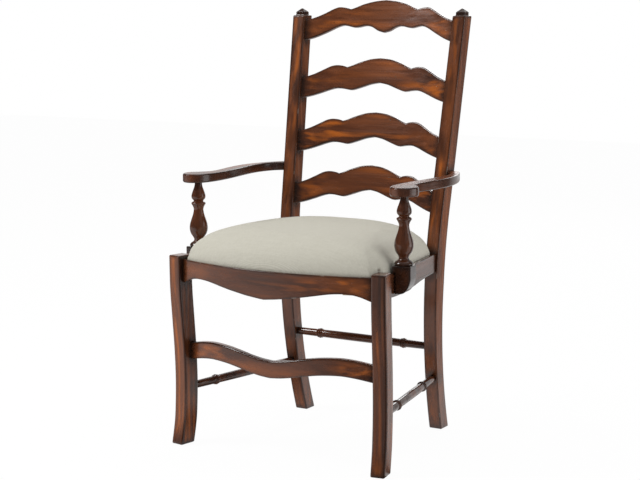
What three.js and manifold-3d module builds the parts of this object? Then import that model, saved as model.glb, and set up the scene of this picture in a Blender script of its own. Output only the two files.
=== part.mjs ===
// Ladder-back armchair with a lift-out upholstered seat.
// Millimetres, +Z up, the front of the chair faces -Y, the floor is at z = 0.

import * as THREE from 'three';
import { mergeVertices } from 'three/addons/utils/BufferGeometryUtils.js';
import Module from 'manifold-3d';

const wasm = await Module();
wasm.setup();

// Overall form
const postShoulder = 1060; // where the square of a back post ends under its finial
const crestRise = 40; // top of the highest slat above the shoulders
const railTop = 469; // top of the seat rails
const frontSpread = 562; // between the front leg centres
const backSpreadFloor = 405.5; // between the back post centres at the floor
const backSpreadTop = 469.5; // and at their shoulders
const frontFaceY = -255; // front face of the front legs at their tops
const postFaceY = 151.5; // front face of the back posts at seat height
const fitGap = 0.3; // glue line or clearance between pieces that touch
const throughCut = 2; // how far a cutting body runs past what it cuts
const mergeTolerance = 0.0005;
const leastShare = 0.001; // of a direction, that still counts as facing a side

// Front legs
const legWidth = 36;
const legDepth = 46.5;
const legTopRise = 9; // above the rails
const legSweep = 17.5; // how far the middle of the leg stands back
const legEase = 3;
const legTopRound = 4;
const legTopShares = [[0.07, 0.4], [0.3, 0.8], [0.7, 1]]; // its rounding, inwards and up

// Back posts, leg and upright in one
const postWidth = 35;
const postDepthFoot = 41;
const postDepthSeat = 44.5;
const postDepthTop = 41;
const postAnkle = 36; // depth control of the lower leg's back curve
const postKick = 62.5; // how far the foot stands behind the seat level
const postKickHeight = 390;
const postRakeLean = 101; // how far the shoulder stands behind the seat level
const postRakeStart = 603; // above this height the upright is straight
const postRakeEntry = 21; // how far back it has leant there
const postEase = 3;
const finialWidth = 24;
const finialNeck = 9;
const finialPoint = 9;
const finialFlat = 3;

// Glides under the feet
const glideHeight = 3;
const glideRadius = 10;
const glideNailRadius = 1.6;
const glideNailLength = 14;
const glideFaceShare = 0.8; // of its radius
const glideBevelShare = 0.4; // of its height

// Seat rails
const railThickness = 24;
const railEase = 1.5;
const frontRailSetback = 10; // behind the front faces of the legs
const frontRailBow = 50;
const frontRailHeight = 68.2; // at the middle of the apron
const sideRailHeight = 58;
const sideRailOut = 8; // outer face, outwards of the line through the leg centres
const backRailHeight = 58;
const backRailSetback = 11.5; // behind the front faces of the posts
const tenonThickness = 9;
const railTenonHeight = 34;
const railTenonDrop = 20; // top of a rail tenon below the top of the rail
const frontTenonLength = 15;
const sideTenonLength = 12;
const backTenonLength = 13;
const sideTenonIn = 3.5; // centre of a side tenon, inwards of the line through the leg centres

// Recess for the seat
const recessDepth = 11;
const frontRim = 8;
const sideRim = 11;
const backRim = 14;

// Corner blocks and their screws
const blockHeight = 30;
const blockDrop = 6; // below the recess floor
const blockFrontReach = 76;
const blockBackReach = 62;
const blockScrewShare = 0.6; // of the reach, where its screw stands
const blockSideScrew = 45.6; // from the leg to the front block's screw into the side rail
const screwBiteShare = 0.6; // of the rail's thickness
const screwHeadRadius = 4.5;
const screwHeadHeight = 3;
const screwRadius = 2.2;
const screwLength = 38;
const screwTip = 6;
const screwSink = 0.6;
const screwPocket = 24; // drilled from the face of a corner block down to the screw's head

// Slats
const slatHeight = 64.5; // at the middle
const slatThickness = 13;
const slatBow = 36;
const slatSetback = 9; // ends, behind the front faces of the posts
const slatEndDrop = 58.3; // upper edge at the ends, below its top at the middle
const slatTenonLength = 13;
const slatTenonHeight = 38;
const slatTenonThickness = 8;
const slatTenonDrop = 85; // centre of the tenon below the top of the slat
const lowSlatRise = 205; // top of the lowest slat above the rails

// Stretchers
const stretcherHeight = 41.5;
const stretcherThickness = 19;
const stretcherMiddle = 227.5; // centre line height at the middle of the chair
const stretcherWave = 21;
const stretcherSetback = 21; // behind the front face of the leg at that height
const stretcherBow = 50;
const stretcherTenonHeight = 22;
const stretcherTenonLength = 14;
const stretcherTenonShare = 0.36; // of the wave, height of the tenons
const sideStretcherZ = 141.5;
const rearStretcherZ = 224;
const shaftRadius = 9.3; // at the ends
const shaftSwell = 1.4;
const ringRadius = 13.2;
const ringWidth = 7;
const beadRadius = 11.9;
const beadWidth = 4;
const socketDepth = 16;
const sideRingFront = 80; // rings from the shoulders
const sideRingBack = 92;
const rearRing = 68;

// Arms
const armRise = 202; // top of the arms above the rails
const armThickness = 22;
const armEase = 5;
const armSpread = 86; // how far the arm reaches outwards of the post's outer face
const armNose = 42; // how far the hand rest reaches in front of its support's axis
const armBack = 222; // rearmost point, on the post
const armDowelRadius = 5;
const armDowelLength = 32;
const armDowelInPost = 16;

// Turned arm supports and their brackets
const supportX = 290; // axis of the right support
const supportSetback = 69.5; // its axis, behind the rear face of the front leg
const bracketRise = 17; // top of the bracket above the rails
const bracketWidth = 39; // outwards from the rail
const bracketLength = 44; // along the rail
const bracketHeight = 66;
const bracketLip = 7; // how far the top laps over the rail
const bracketShoulder = 30; // straight part of the outer side
const bracketEase = 2;
const bracketToeShare = 0.3; // shares of the width that shape the sweep below
const bracketFootShare = 0.72;
const bracketCheekShare = 0.95;
const bracketDropShare = 0.4;
const supportFootTenon = 20;
const supportFootTenonRadius = 9;
const supportHeadTenon = 13;
const supportHeadTenonRadius = 7;
const bracketScrewPitch = 22;

// Seat
const seatGap = 1; // between the covered seat and the recess
const notchGap = 2; // round the legs and posts
const coverWall = 2;
const boardThickness = 12;
const crownHeight = 84; // above the rails
const padBulge = 2;
const padRoll = 160; // how far in from its edge the crown keeps rising
const padRollShare = 0.86; // and at most this share of the way to the middle
const padCentreY = -30;
const dustCoverThickness = 1;
const dustCoverInset = 14;

// Counts
const easeSteps = 2;
const archSteps = 20;
const bendSteps = 10;
const legSteps = 16;
const railSteps = 12;
const edgeSteps = 14;
const armSteps = 46;
const padFrontSteps = 8;
const padSideSteps = 9;
const padBackSteps = 5;
const padNotchSteps = 2;
const squareSides = 4;
const ringSides = 14;
const supportSides = 20;
const pinSides = 12;
const screwSides = 8;

// Outline shares, worked along one half of a piece from its middle
const legSweepShares = [
  [0, 0.12], [0.085, 0.58], [0.17, 0.86], [0.33, 1], [0.5, 0.83], [0.67, 0.45], [0.83, 0.1], [1, 0],
];
const apronShares = [
  [0, 1], [0.17, 0.93], [0.28, 0.865], [0.375, 0.81], [0.48, 0.74], [0.62, 0.645],
  [0.73, 0.61], [0.82, 0.62], [0.906, 0.695], [0.99, 0.826], [1.08, 0.93],
];
const sideRailShares = [[0, 0.9], [0.16, 0.98], [0.32, 1], [0.5, 0.96], [0.7, 0.86], [0.86, 0.82], [1, 0.81]];
const waveShares = [
  [0, 0], [0.11, 0.12], [0.22, 0.33], [0.335, 0.61], [0.465, 0.87], [0.6, 1],
  [0.71, 0.99], [0.83, 0.8], [0.93, 0.55], [1.04, 0.25],
];
const shaftShares = [0.25, 0.5, 0.75]; // of a turned stretcher between its rings
const slatUpperShares = [
  [[0, 0], [0.14, -0.052], [0.28, -0.205], [0.39, -0.37], [0.452, -0.447]],
  [[0.452, -0.447], [0.5, -0.395], [0.585, -0.378], [0.66, -0.44], [0.74, -0.592], [0.87, -0.845],
    [1, -1.03], [1.06, -1.09]],
];
const slatLowerShares = [
  [[0, -1], [0.12, -1.07], [0.25, -1.215], [0.36, -1.328], [0.42, -1.318]],
  [[0.42, -1.318], [0.5, -1.287], [0.575, -1.293], [0.66, -1.374], [0.76, -1.508], [0.88, -1.657],
    [1, -1.77], [1.06, -1.8]],
];
const crestUpperShares = [
  [[0, 0], [0.14, -0.055], [0.28, -0.178], [0.4, -0.357], [0.457, -0.432]],
  [[0.457, -0.432], [0.52, -0.377], [0.607, -0.36], [0.68, -0.46], [0.78, -0.672], [0.89, -0.871],
    [1, -1.017], [1.06, -1.084]],
];
const crestLowerShares = [
  [[0, -1.32], [0.08, -1.25], [0.16, -1.105], [0.24, -1.055], [0.33, -1.115]],
  [[0.33, -1.115], [0.4, -1.136], [0.48, -1.083], [0.54, -1.069], [0.62, -1.158], [0.74, -1.375],
    [0.88, -1.607], [1, -1.75], [1.06, -1.8]],
];
const armShares = [ // outwards of the post and back from the tip, round from the rear of the elbow
  [0, 1], [0.2, 0.985], [0.36, 0.935], [0.54, 0.85], [0.7, 0.74], [0.77, 0.62], [0.74, 0.5], [0.66, 0.38],
  [0.6, 0.28], [0.64, 0.22], [0.8, 0.175], [0.96, 0.13], [0.99, 0.08], [0.88, 0.03], [0.66, 0],
  [0.44, 0.01], [0.28, 0.045], [0.19, 0.1], [0.16, 0.18], [0.18, 0.3], [0.24, 0.42], [0.32, 0.55],
  [0.37, 0.67], [0.34, 0.78], [0.2, 0.875], [0, 0.92],
];
const supportShares = [ // height share from the bracket, radius share of the bulge
  [0, 0.93], [0.025, 0.99], [0.055, 0.85], [0.085, 0.56], [0.115, 0.52], [0.145, 0.62],
  [0.19, 0.83], [0.235, 0.95], [0.285, 1], [0.345, 0.96], [0.41, 0.83], [0.48, 0.66], [0.54, 0.56],
  [0.585, 0.54], [0.625, 0.64], [0.663, 0.79], [0.683, 0.73], [0.702, 0.53], [0.72, 0.6],
  [0.745, 0.74], [0.78, 0.78], [0.825, 0.71], [0.88, 0.57], [0.935, 0.44], [1, 0.39],
];
const supportBulge = 22.7;
const padShares = [ // drawn in of the roll, height of the crown, notches filled, bulge
  [0, 0, 0, 0], [0, 0.12, 0, 1], [0, 0.27, 0, 0.7], [0.03, 0.42, 0.05, 0], [0.1, 0.56, 0.25, 0],
  [0.24, 0.7, 0.6, 0], [0.45, 0.84, 0.9, 0], [0.72, 0.945, 1, 0], [1, 0.99, 1, 0],
];

const slatSpacingShares = [0, 0.352, 0.68, 1]; // tops of the slats, from the highest to the lowest

// Finishes
const mahogany = { color: 0x5a2e1c, roughness: 0.36, metalness: 0 };
const darkMahogany = { color: 0x4a2517, roughness: 0.4, metalness: 0 };
const blockPine = { color: 0xb08a5a, roughness: 0.8, metalness: 0 };
const plywood = { color: 0xc2a377, roughness: 0.75, metalness: 0 };
const linen = { color: 0xc6c1b0, roughness: 0.95, metalness: 0 };
const foamBuff = { color: 0xe6dcb8, roughness: 1, metalness: 0 };
const cambric = { color: 0x1d1d1f, roughness: 1, metalness: 0 };
const steel = { color: 0xa9abb0, roughness: 0.35, metalness: 0.9 };
const glideNylon = { color: 0x3a3532, roughness: 0.5, metalness: 0 };

// Directions in which an outline is given its thickness
const xAxis = new THREE.Vector3(1, 0, 0);
const yAxis = new THREE.Vector3(0, 1, 0);
const zAxis = new THREE.Vector3(0, 0, 1);
const acrossX = new THREE.Matrix4().makeBasis(yAxis, zAxis, xAxis); // outline in y, z
const acrossY = new THREE.Matrix4().makeBasis(xAxis, zAxis, yAxis.clone().negate()); // outline in x, z
const acrossZ = new THREE.Matrix4(); // outline in x, y

// Closed solids for joining and cutting
function solidOf(geometry) {
  const bare = geometry.clone();
  bare.deleteAttribute('normal');
  bare.deleteAttribute('uv');
  const merged = mergeVertices(bare, mergeTolerance);
  return new wasm.Manifold(new wasm.Mesh({
    numProp: 3,
    vertProperties: new Float32Array(merged.attributes.position.array),
    triVerts: new Uint32Array(merged.index.array),
  }));
}

function geometryOf(solid) {
  const mesh = solid.getMesh();
  const count = mesh.vertProperties.length / mesh.numProp;
  const positions = new Float32Array(count * 3);
  for (let i = 0; i < count; i += 1) {
    for (let k = 0; k < 3; k += 1) {
      positions[i * 3 + k] = mesh.vertProperties[i * mesh.numProp + k];
    }
  }
  const geometry = new THREE.BufferGeometry();
  geometry.setAttribute('position', new THREE.BufferAttribute(positions, 3));
  geometry.setIndex(new THREE.BufferAttribute(new Uint32Array(mesh.triVerts), 1));
  geometry.computeVertexNormals();
  return geometry;
}

function cut(geometry, ...tools) {
  return geometryOf(tools.reduce((body, tool) => body.subtract(solidOf(tool)), solidOf(geometry)));
}

function join(geometry, ...others) {
  return geometryOf(others.reduce((body, other) => body.add(solidOf(other)), solidOf(geometry)));
}

function common(geometry, other) {
  return geometryOf(solidOf(geometry).intersect(solidOf(other)));
}

// The same piece for the other side of the chair
function mirrored(geometry) {
  const copy = geometry.index ? geometry.toNonIndexed() : geometry.clone();
  const position = copy.attributes.position;
  for (let i = 0; i < position.count; i += 3) {
    const corners = [0, 2, 1].map((k) => [position.getX(i + k), position.getY(i + k), position.getZ(i + k)]);
    corners.forEach(([x, y, z], k) => position.setXYZ(i + k, -x, y, z));
  }
  copy.computeVertexNormals();
  return copy;
}

// A flat outline given a thickness about its own plane, with eased edges
function board(points, thickness, direction, ease = 0) {
  const geometry = new THREE.ExtrudeGeometry(new THREE.Shape(points), {
    depth: thickness - 2 * ease,
    bevelEnabled: ease > 0,
    bevelThickness: ease,
    bevelSize: ease,
    bevelOffset: -ease,
    bevelSegments: easeSteps,
  });
  geometry.translate(0, 0, ease - thickness / 2);
  return geometry.applyMatrix4(direction);
}

function box(width, depth, height, x, y, z) {
  return new THREE.BoxGeometry(width, depth, height).translate(x, y, z);
}

function splinePoints(pairs, steps) {
  return new THREE.SplineCurve(pairs.map(([x, y]) => new THREE.Vector2(x, y))).getPoints(steps);
}

// A round bar between two points, given as radii along its length
function turned(profile, start, end, sides) {
  const geometry = new THREE.LatheGeometry(profile.map(([r, h]) => new THREE.Vector2(r, h)), sides);
  const direction = end.clone().sub(start).normalize();
  geometry.applyQuaternion(new THREE.Quaternion().setFromUnitVectors(yAxis, direction));
  return geometry.translate(start.x, start.y, start.z);
}

function pin(radius, start, end, sides = pinSides) {
  const length = end.distanceTo(start);
  return turned([[0, 0], [radius, 0], [radius, length], [0, length]], start, end, sides);
}

// Places that several pieces share
const legTop = railTop + legTopRise;
const recessFloor = railTop - recessDepth;
const bracketTop = railTop + bracketRise;
const armTop = railTop + armRise;
const legCentre = new THREE.Vector2(frontSpread / 2, frontFaceY + legDepth / 2);
const supportY = frontFaceY + legDepth + supportSetback;
const armFront = supportY - armNose; // foremost point of the hand rest
const postLean = (backSpreadTop - backSpreadFloor) / 2 / postShoulder;
const postX = (z) => backSpreadFloor / 2 + postLean * z;
const railAxis = new THREE.Vector2(postX(railTop), postFaceY + postDepthSeat / 2).sub(legCentre);
const sideAngle = Math.atan2(-railAxis.x, railAxis.y); // the seat narrows to the back by this angle

// Frame of a front leg: u outwards, v towards the back along the side rail
const uAxis = new THREE.Vector2(Math.cos(sideAngle), Math.sin(sideAngle));
const vAxis = new THREE.Vector2(-Math.sin(sideAngle), Math.cos(sideAngle));
const fromLeg = (u, v) => legCentre.clone().addScaledVector(uAxis, u).addScaledVector(vAxis, v);
const inLegFrame = (geometry) => geometry.rotateZ(sideAngle).translate(legCentre.x, legCentre.y, 0);

function bowedY(x, half, endY, bow) {
  return endY + bow * (1 - (x / half) ** 2);
}

// Front face of a back post at a height
function postFace(z) {
  if (z < postKickHeight) {
    return postFaceY + postKick * (1 - z / postKickHeight) ** 2;
  }
  const slope = (postRakeLean - postRakeEntry) / (postShoulder - postRakeStart);
  if (z >= postRakeStart) {
    return postFaceY + postRakeEntry + slope * (z - postRakeStart);
  }
  return postFaceY + postRakeEntry * ((z - postKickHeight) / (postRakeStart - postKickHeight)) ** 2;
}

const postRake = Math.atan2(postRakeLean - postRakeEntry, postShoulder - postRakeStart);

// Front face of a front leg at a height, measured back from its top
function legBack(z) {
  const curve = splinePoints(legSweepShares, archSteps * 2);
  const share = z / legTop;
  const next = Math.max(1, curve.findIndex((p) => p.x >= share));
  const [low, high] = [curve[next - 1], curve[next]];
  const rise = (share - low.x) / (high.x - low.x);
  return legSweep * (low.y + rise * (high.y - low.y));
}

function legBlank(grow = 0) {
  const foot = glideHeight + fitGap - grow;
  const stop = grow ? legTop + grow : legTop - legTopRound;
  const front = splinePoints(legSweepShares.map(([up, back]) => [
    back * legSweep - legDepth / 2 - grow,
    foot + up * (stop - foot),
  ]), legSteps);
  const back = front.map((p) => new THREE.Vector2(p.x + legDepth + 2 * grow, p.y)).reverse();
  const crown = grow ? [] : legTopShares.map(([inwards, up]) => (
    new THREE.Vector2(inwards * legTopRound - legDepth / 2, stop + up * legTopRound)
  ));
  const crownBack = crown.map((p) => new THREE.Vector2(-p.x, p.y)).reverse();
  const outline = [...front, ...crown, ...crownBack, ...back];
  return inLegFrame(board(outline, legWidth + 2 * grow, acrossX, grow ? 0 : legEase));
}

function curve(from, control, to, steps) {
  return new THREE.QuadraticBezierCurve(
    new THREE.Vector2(...from), new THREE.Vector2(...control), new THREE.Vector2(...to),
  ).getPoints(steps);
}

function leaning(geometry) {
  const lean = new THREE.Matrix4().makeBasis(xAxis, yAxis, new THREE.Vector3(postLean, 0, 1));
  return geometry.applyMatrix4(lean.setPosition(backSpreadFloor / 2, 0, 0));
}

function postBlank(grow = 0) {
  const foot = glideHeight + fitGap - grow;
  const y = (offset, depth = 0) => postFaceY + offset + (depth ? depth + grow : -grow);
  const slope = (postRakeLean - postRakeEntry) / (postShoulder - postRakeStart);
  const bend = postRakeStart - postRakeEntry / slope;
  const outline = [
    ...curve([y(postKick), foot], [y(0), postKickHeight / 2], [y(0), postKickHeight], bendSteps),
    ...curve([y(0), postKickHeight], [y(0), bend], [y(postRakeEntry), postRakeStart], bendSteps).slice(1),
    new THREE.Vector2(y(postRakeLean), postShoulder + grow),
    new THREE.Vector2(y(postRakeLean, postDepthTop), postShoulder + grow),
    ...curve([y(postRakeEntry, postDepthSeat), postRakeStart], [y(0, postDepthSeat), bend],
      [y(0, postDepthSeat), postKickHeight], bendSteps),
    ...curve([y(0, postDepthSeat), postKickHeight], [y(0, postAnkle), postKickHeight / 2],
      [y(postKick, postDepthFoot), foot], bendSteps).slice(1),
  ];
  return leaning(board(outline, postWidth + 2 * grow, acrossX, grow ? 0 : postEase));
}

// Square neck and low pyramid on top of a post
function finial() {
  const centreY = postFaceY + postRakeLean + postDepthTop / 2;
  const side = finialWidth / Math.SQRT2;
  const top = finialFlat / Math.SQRT2;
  const neck = box(finialWidth, finialWidth, finialNeck + postEase, 0, centreY,
    postShoulder + (finialNeck - postEase) / 2);
  const point = new THREE.CylinderGeometry(top, side, finialPoint, squareSides);
  point.rotateX(Math.PI / 2).rotateZ(Math.PI / squareSides);
  point.translate(0, centreY, postShoulder + finialNeck + finialPoint / 2);
  return leaning(join(neck, point));
}

// Glides
function glide(x, y) {
  const nailTop = glideHeight + glideNailLength;
  const profile = [
    [0, 0], [glideRadius * glideFaceShare, 0], [glideRadius, glideHeight * glideBevelShare],
    [glideRadius, glideHeight],
    [glideNailRadius, glideHeight], [glideNailRadius, nailTop - glideNailRadius], [0, nailTop],
  ];
  return turned(profile, new THREE.Vector3(x, y, 0), new THREE.Vector3(x, y, nailTop), pinSides);
}

function glideHole(x, y) {
  const top = glideHeight + glideNailLength + fitGap;
  return pin(glideNailRadius + fitGap, new THREE.Vector3(x, y, 0), new THREE.Vector3(x, y, top));
}

const footY = postFace(0) + postDepthFoot / 2;
const frontFoot = fromLeg(0, legBack(0));

// Seat rails
const frontRailEndY = frontFaceY + frontRailSetback;
const frontRailHalf = legCentre.x - legWidth / 2;

function frontRailBand(grow = 0) {
  const half = legCentre.x;
  const row = (offset) => Array.from({ length: archSteps + 1 }, (_, i) => {
    const x = half * (2 * i / archSteps - 1);
    return new THREE.Vector2(x, bowedY(x, frontRailHalf, frontRailEndY, -frontRailBow) + offset);
  });
  const outline = [...row(-grow), ...row(railThickness + grow).reverse()];
  const height = frontRailHeight + 2 * railEase;
  const band = board(outline, height, acrossZ, grow ? 0 : railEase);
  return band.translate(0, 0, railTop - height / 2);
}

function apron() {
  const right = splinePoints(apronShares, archSteps).map(({ x, y }) => (
    new THREE.Vector2(x * frontRailHalf, railTop - y * frontRailHeight)
  ));
  const left = right.slice(1).map((p) => new THREE.Vector2(-p.x, p.y)).reverse();
  const reach = right[right.length - 1].x;
  const outline = [...left, ...right, new THREE.Vector2(reach, railTop + throughCut),
    new THREE.Vector2(-reach, railTop + throughCut)];
  const depth = 2 * (frontRailBow + railThickness);
  return board(outline, depth, acrossY).translate(0, frontRailEndY, 0);
}

// What the shoulder of the front rail stops at: the leg and all that lies in front of and behind it
function besideLeg() {
  const depth = legDepth + 2 * frontRailBow;
  const height = legTop + throughCut;
  return inLegFrame(box(legWidth + 2 * fitGap, depth, 2 * height, 0, 0, 0));
}

const railTenonZ = railTop - railTenonDrop - railTenonHeight / 2;

// Tenon of the front rail in the right leg; grow makes its mortise
function frontTenon(grow = 0) {
  const start = frontRailHalf - railThickness / 2;
  const end = frontRailHalf + frontTenonLength + grow;
  return box(end - start, tenonThickness + 2 * grow, railTenonHeight + 2 * grow,
    (start + end) / 2, legCentre.y, railTenonZ);
}

const sideRailLength = railAxis.length();
const postHalfAtSeat = postDepthSeat / 2 / Math.cos(sideAngle);

function sideRailBlank(grow = 0) {
  const start = legDepth / 2 - legEase - grow;
  const end = sideRailLength - postHalfAtSeat + postEase + grow;
  const bottom = splinePoints(sideRailShares, railSteps).map(({ x, y }) => (
    new THREE.Vector2(start + x * (end - start), railTop - y * sideRailHeight - grow)
  ));
  const top = [end, start].map((along) => new THREE.Vector2(along, railTop + grow));
  const outline = [...bottom, ...top];
  const plank = board(outline, railThickness + 2 * grow, acrossX, grow ? 0 : railEase);
  return inLegFrame(plank.translate(sideRailOut - railThickness / 2, 0, 0));
}

function sideTenon(atPost, grow = 0) {
  const shoulder = atPost ? sideRailLength - postHalfAtSeat : legDepth / 2;
  const reach = atPost ? sideTenonLength + grow : -sideTenonLength - grow;
  const root = atPost ? -railThickness : railThickness;
  const middle = shoulder + (reach + root) / 2;
  const tenon = box(tenonThickness + 2 * grow, Math.abs(reach - root), railTenonHeight + 2 * grow,
    -sideTenonIn, middle, railTenonZ);
  return inLegFrame(tenon);
}

const backRailY = postFaceY + backRailSetback;

function backRailBlank(grow = 0) {
  return board([
    new THREE.Vector2(-postX(railTop), railTop - backRailHeight - grow),
    new THREE.Vector2(postX(railTop), railTop - backRailHeight - grow),
    new THREE.Vector2(postX(railTop), railTop + grow),
    new THREE.Vector2(-postX(railTop), railTop + grow),
  ], railThickness + 2 * grow, acrossY, grow ? 0 : railEase).translate(0, backRailY + railThickness / 2, 0);
}

function backTenon(grow = 0) {
  const inner = postX(railTenonZ) - postWidth / 2;
  const start = inner - railThickness;
  const end = inner + backTenonLength + grow;
  return box(end - start, tenonThickness + 2 * grow, railTenonHeight + 2 * grow,
    (start + end) / 2, backRailY + railThickness - tenonThickness, railTenonZ);
}

// Plan of the seat and of its recess; inset measures inwards from the recess wall
function seatOutline(inset) {
  const leg = -legWidth / 2 - notchGap - inset;
  const legRear = legDepth / 2 + notchGap + inset;
  const side = sideRailOut - sideRim - inset;
  const frontY = (x) => bowedY(x, frontRailHalf, frontRailEndY, -frontRailBow) + frontRim + inset;
  const guess = fromLeg(leg, 0);
  const wall = (frontY(guess.x) - guess.y) / vAxis.y;
  const notchStart = fromLeg(leg, wall);
  const notchCorner = fromLeg(leg, legRear);
  const notchEnd = fromLeg(side, legRear);
  const postY = postFaceY - notchGap - inset;
  const postInner = postX(recessFloor) - postWidth / 2 - notchGap - inset;
  const sideEnd = fromLeg(side, (postY - fromLeg(side, 0).y) / vAxis.y);
  const postCorner = new THREE.Vector2(postInner, postY);
  const backCorner = new THREE.Vector2(postInner, backRailY + railThickness - backRim - inset);
  const backMiddle = new THREE.Vector2(0, backCorner.y);
  const half = [];
  const run = (from, to, steps, free = 0) => {
    for (let i = 0; i < steps; i += 1) {
      const point = from.clone().lerp(to, i / steps);
      half.push({ x: point.x, y: point.y, free: i > 0 ? free : 0 });
    }
  };
  for (let i = 0; i < padFrontSteps; i += 1) {
    const x = notchStart.x * i / padFrontSteps;
    half.push({ x, y: frontY(x), free: 1 });
  }
  run(notchStart, notchCorner, padNotchSteps);
  run(notchCorner, notchEnd, 1);
  run(notchEnd, sideEnd, padSideSteps, 1);
  run(sideEnd, postCorner, 1);
  run(postCorner, backCorner, 1);
  run(backCorner, backMiddle, padBackSteps);
  half.push({ x: 0, y: backMiddle.y, free: 0 });
  const left = half.slice(1, -1).map((p) => ({ ...p, x: -p.x })).reverse();
  return [...half, ...left];
}

function seatPlate(inset, low, high) {
  const points = seatOutline(inset).map((p) => new THREE.Vector2(p.x, p.y));
  return board(points, high - low, acrossZ).translate(0, 0, (low + high) / 2);
}

// Where a ray from the pad's centre leaves the pad's outline with its notches filled
function fullRadius(inset, direction) {
  const side = fromLeg(sideRailOut - sideRim - inset, 0);
  const dx = Math.abs(direction.x);
  const sideReach = uAxis.dot(new THREE.Vector2(side.x, side.y - padCentreY))
    / Math.max(uAxis.dot(new THREE.Vector2(dx, direction.y)), leastShare);
  const frontY = frontRailEndY + frontRim + inset - padCentreY;
  const backY = backRailY + railThickness - backRim - inset - padCentreY;
  const endReach = (direction.y > 0 ? backY : frontY) / direction.y;
  return Math.min(sideReach, Math.abs(endReach));
}

// Crowned pad over the seat outline, from a base height up, as rings drawn in towards the middle
function crownedPad(inset, base, drop) {
  const outline = seatOutline(inset);
  const count = outline.length;
  const positions = [];
  const skirt = base < railTop - drop ? [padShares[0]] : [];
  const levels = [...skirt, ...padShares];
  levels.forEach(([drawnIn, height, filled, bulged], level) => {
    outline.forEach((p) => {
      const direction = new THREE.Vector2(p.x, p.y - padCentreY);
      const radius = direction.length();
      direction.divideScalar(radius);
      const full = Math.max(radius, fullRadius(inset, direction));
      const roll = drawnIn * Math.min(padRoll, full * padRollShare);
      const reach = radius + (full - radius) * filled + bulged * padBulge * p.free - roll;
      const z = level > 0 ? railTop + height * crownHeight - drop : base;
      positions.push(direction.x * reach, padCentreY + direction.y * reach, z);
    });
  });
  const apex = positions.length / 3;
  positions.push(0, padCentreY, railTop + crownHeight - drop);
  positions.push(0, padCentreY, base);
  const index = [];
  for (let level = 0; level + 1 < levels.length; level += 1) {
    for (let i = 0; i < count; i += 1) {
      const j = (i + 1) % count;
      const [a, b] = [level * count + i, level * count + j];
      index.push(a, b, b + count, a, b + count, a + count);
    }
  }
  const top = (levels.length - 1) * count;
  for (let i = 0; i < count; i += 1) {
    const j = (i + 1) % count;
    index.push(top + i, top + j, apex, j, i, apex + 1);
  }
  const geometry = new THREE.BufferGeometry();
  geometry.setAttribute('position', new THREE.Float32BufferAttribute(positions, 3));
  geometry.setIndex(index);
  geometry.computeVertexNormals();
  return geometry;
}

const coverInset = seatGap;
const boardInset = seatGap + coverWall + fitGap;
const boardLow = recessFloor + fitGap;
const boardHigh = boardLow + boardThickness;

function seatCover() {
  const outer = crownedPad(coverInset, boardLow, 0);
  const inner = crownedPad(coverInset + coverWall, boardLow - throughCut, coverWall);
  return cut(outer, inner);
}

function seatFoam() {
  return crownedPad(boardInset, boardHigh + fitGap, coverWall + 2 * fitGap);
}

function dustCover() {
  const points = seatOutline(boardInset + dustCoverInset).map((p) => new THREE.Vector2(p.x, p.y));
  return board(points, dustCoverThickness, acrossZ)
    .translate(0, 0, boardLow - fitGap - dustCoverThickness / 2);
}

// Corner blocks, fitted to the rails and the leg or post in their corner
const blockZ = recessFloor - blockDrop - blockHeight / 2;

function frontBlock() {
  const corner = fromLeg(0, 0);
  const along = new THREE.Vector2(corner.x - legWidth / 2 - blockFrontReach, 0);
  along.y = bowedY(along.x, frontRailHalf, frontRailEndY, -frontRailBow) + railThickness / 2;
  const rear = fromLeg(sideRailOut - railThickness / 2, legDepth / 2 + blockFrontReach);
  const inner = fromLeg(sideRailOut - railThickness - railEase, legDepth / 2 + blockFrontReach);
  const face = new THREE.Vector2(along.x, along.y + railThickness / 2 + railEase);
  const block = board([face, along, corner, rear, inner], blockHeight, acrossZ).translate(0, 0, blockZ);
  return cut(block, frontRailBand(fitGap), sideRailBlank(fitGap), legBlank(fitGap));
}

function backBlock() {
  const corner = new THREE.Vector2(postX(blockZ), backRailY + railThickness / 2);
  const along = new THREE.Vector2(corner.x - postWidth / 2 - blockBackReach, corner.y);
  const face = new THREE.Vector2(along.x, backRailY - railEase);
  const start = sideRailLength - postHalfAtSeat - blockBackReach;
  const side = fromLeg(sideRailOut - railThickness / 2, start);
  const inner = fromLeg(sideRailOut - railThickness - railEase, start);
  const block = board([corner, along, face, inner, side], blockHeight, acrossZ).translate(0, 0, blockZ);
  return cut(block, backRailBlank(fitGap), sideRailBlank(fitGap), postBlank(fitGap));
}

// Countersunk wood screw from its head point along a direction; grow makes its hole, open lengthens its mouth
function screw(head, direction, grow = 0, open = 0) {
  const length = screwLength + grow;
  const shift = grow * 2 + open;
  const tip = head.clone().addScaledVector(direction, length);
  const start = head.clone().addScaledVector(direction, -shift);
  return turned([
    [0, 0], [screwHeadRadius + grow, 0], [screwHeadRadius + grow, shift],
    [screwRadius + grow, screwHeadHeight + shift], [screwRadius + grow, length - screwTip + shift],
    [0, length + shift],
  ], start, tip, screwSides);
}

// Slats
function halfWidthAt(z) {
  return postX(z) - postWidth / 2;
}

function slatEdge(runs, half, rise) {
  const points = runs.flatMap((run, i) => (
    splinePoints(run, i ? edgeSteps : bendSteps).slice(i ? 1 : 0)
  ));
  return points.map((p) => new THREE.Vector2(p.x * half, p.y * rise));
}

// Frame of a slat, tilted with the posts; its bow would sink its top, so the frame stands higher by that
function slatPlace(top) {
  const z = top + slatBow * Math.sin(postRake);
  const tenonZ = z - slatTenonDrop * Math.cos(postRake);
  const y = postFace(tenonZ) + slatSetback + slatTenonDrop * Math.sin(postRake);
  return new THREE.Matrix4().makeRotationX(-postRake).setPosition(0, y, z);
}

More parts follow.
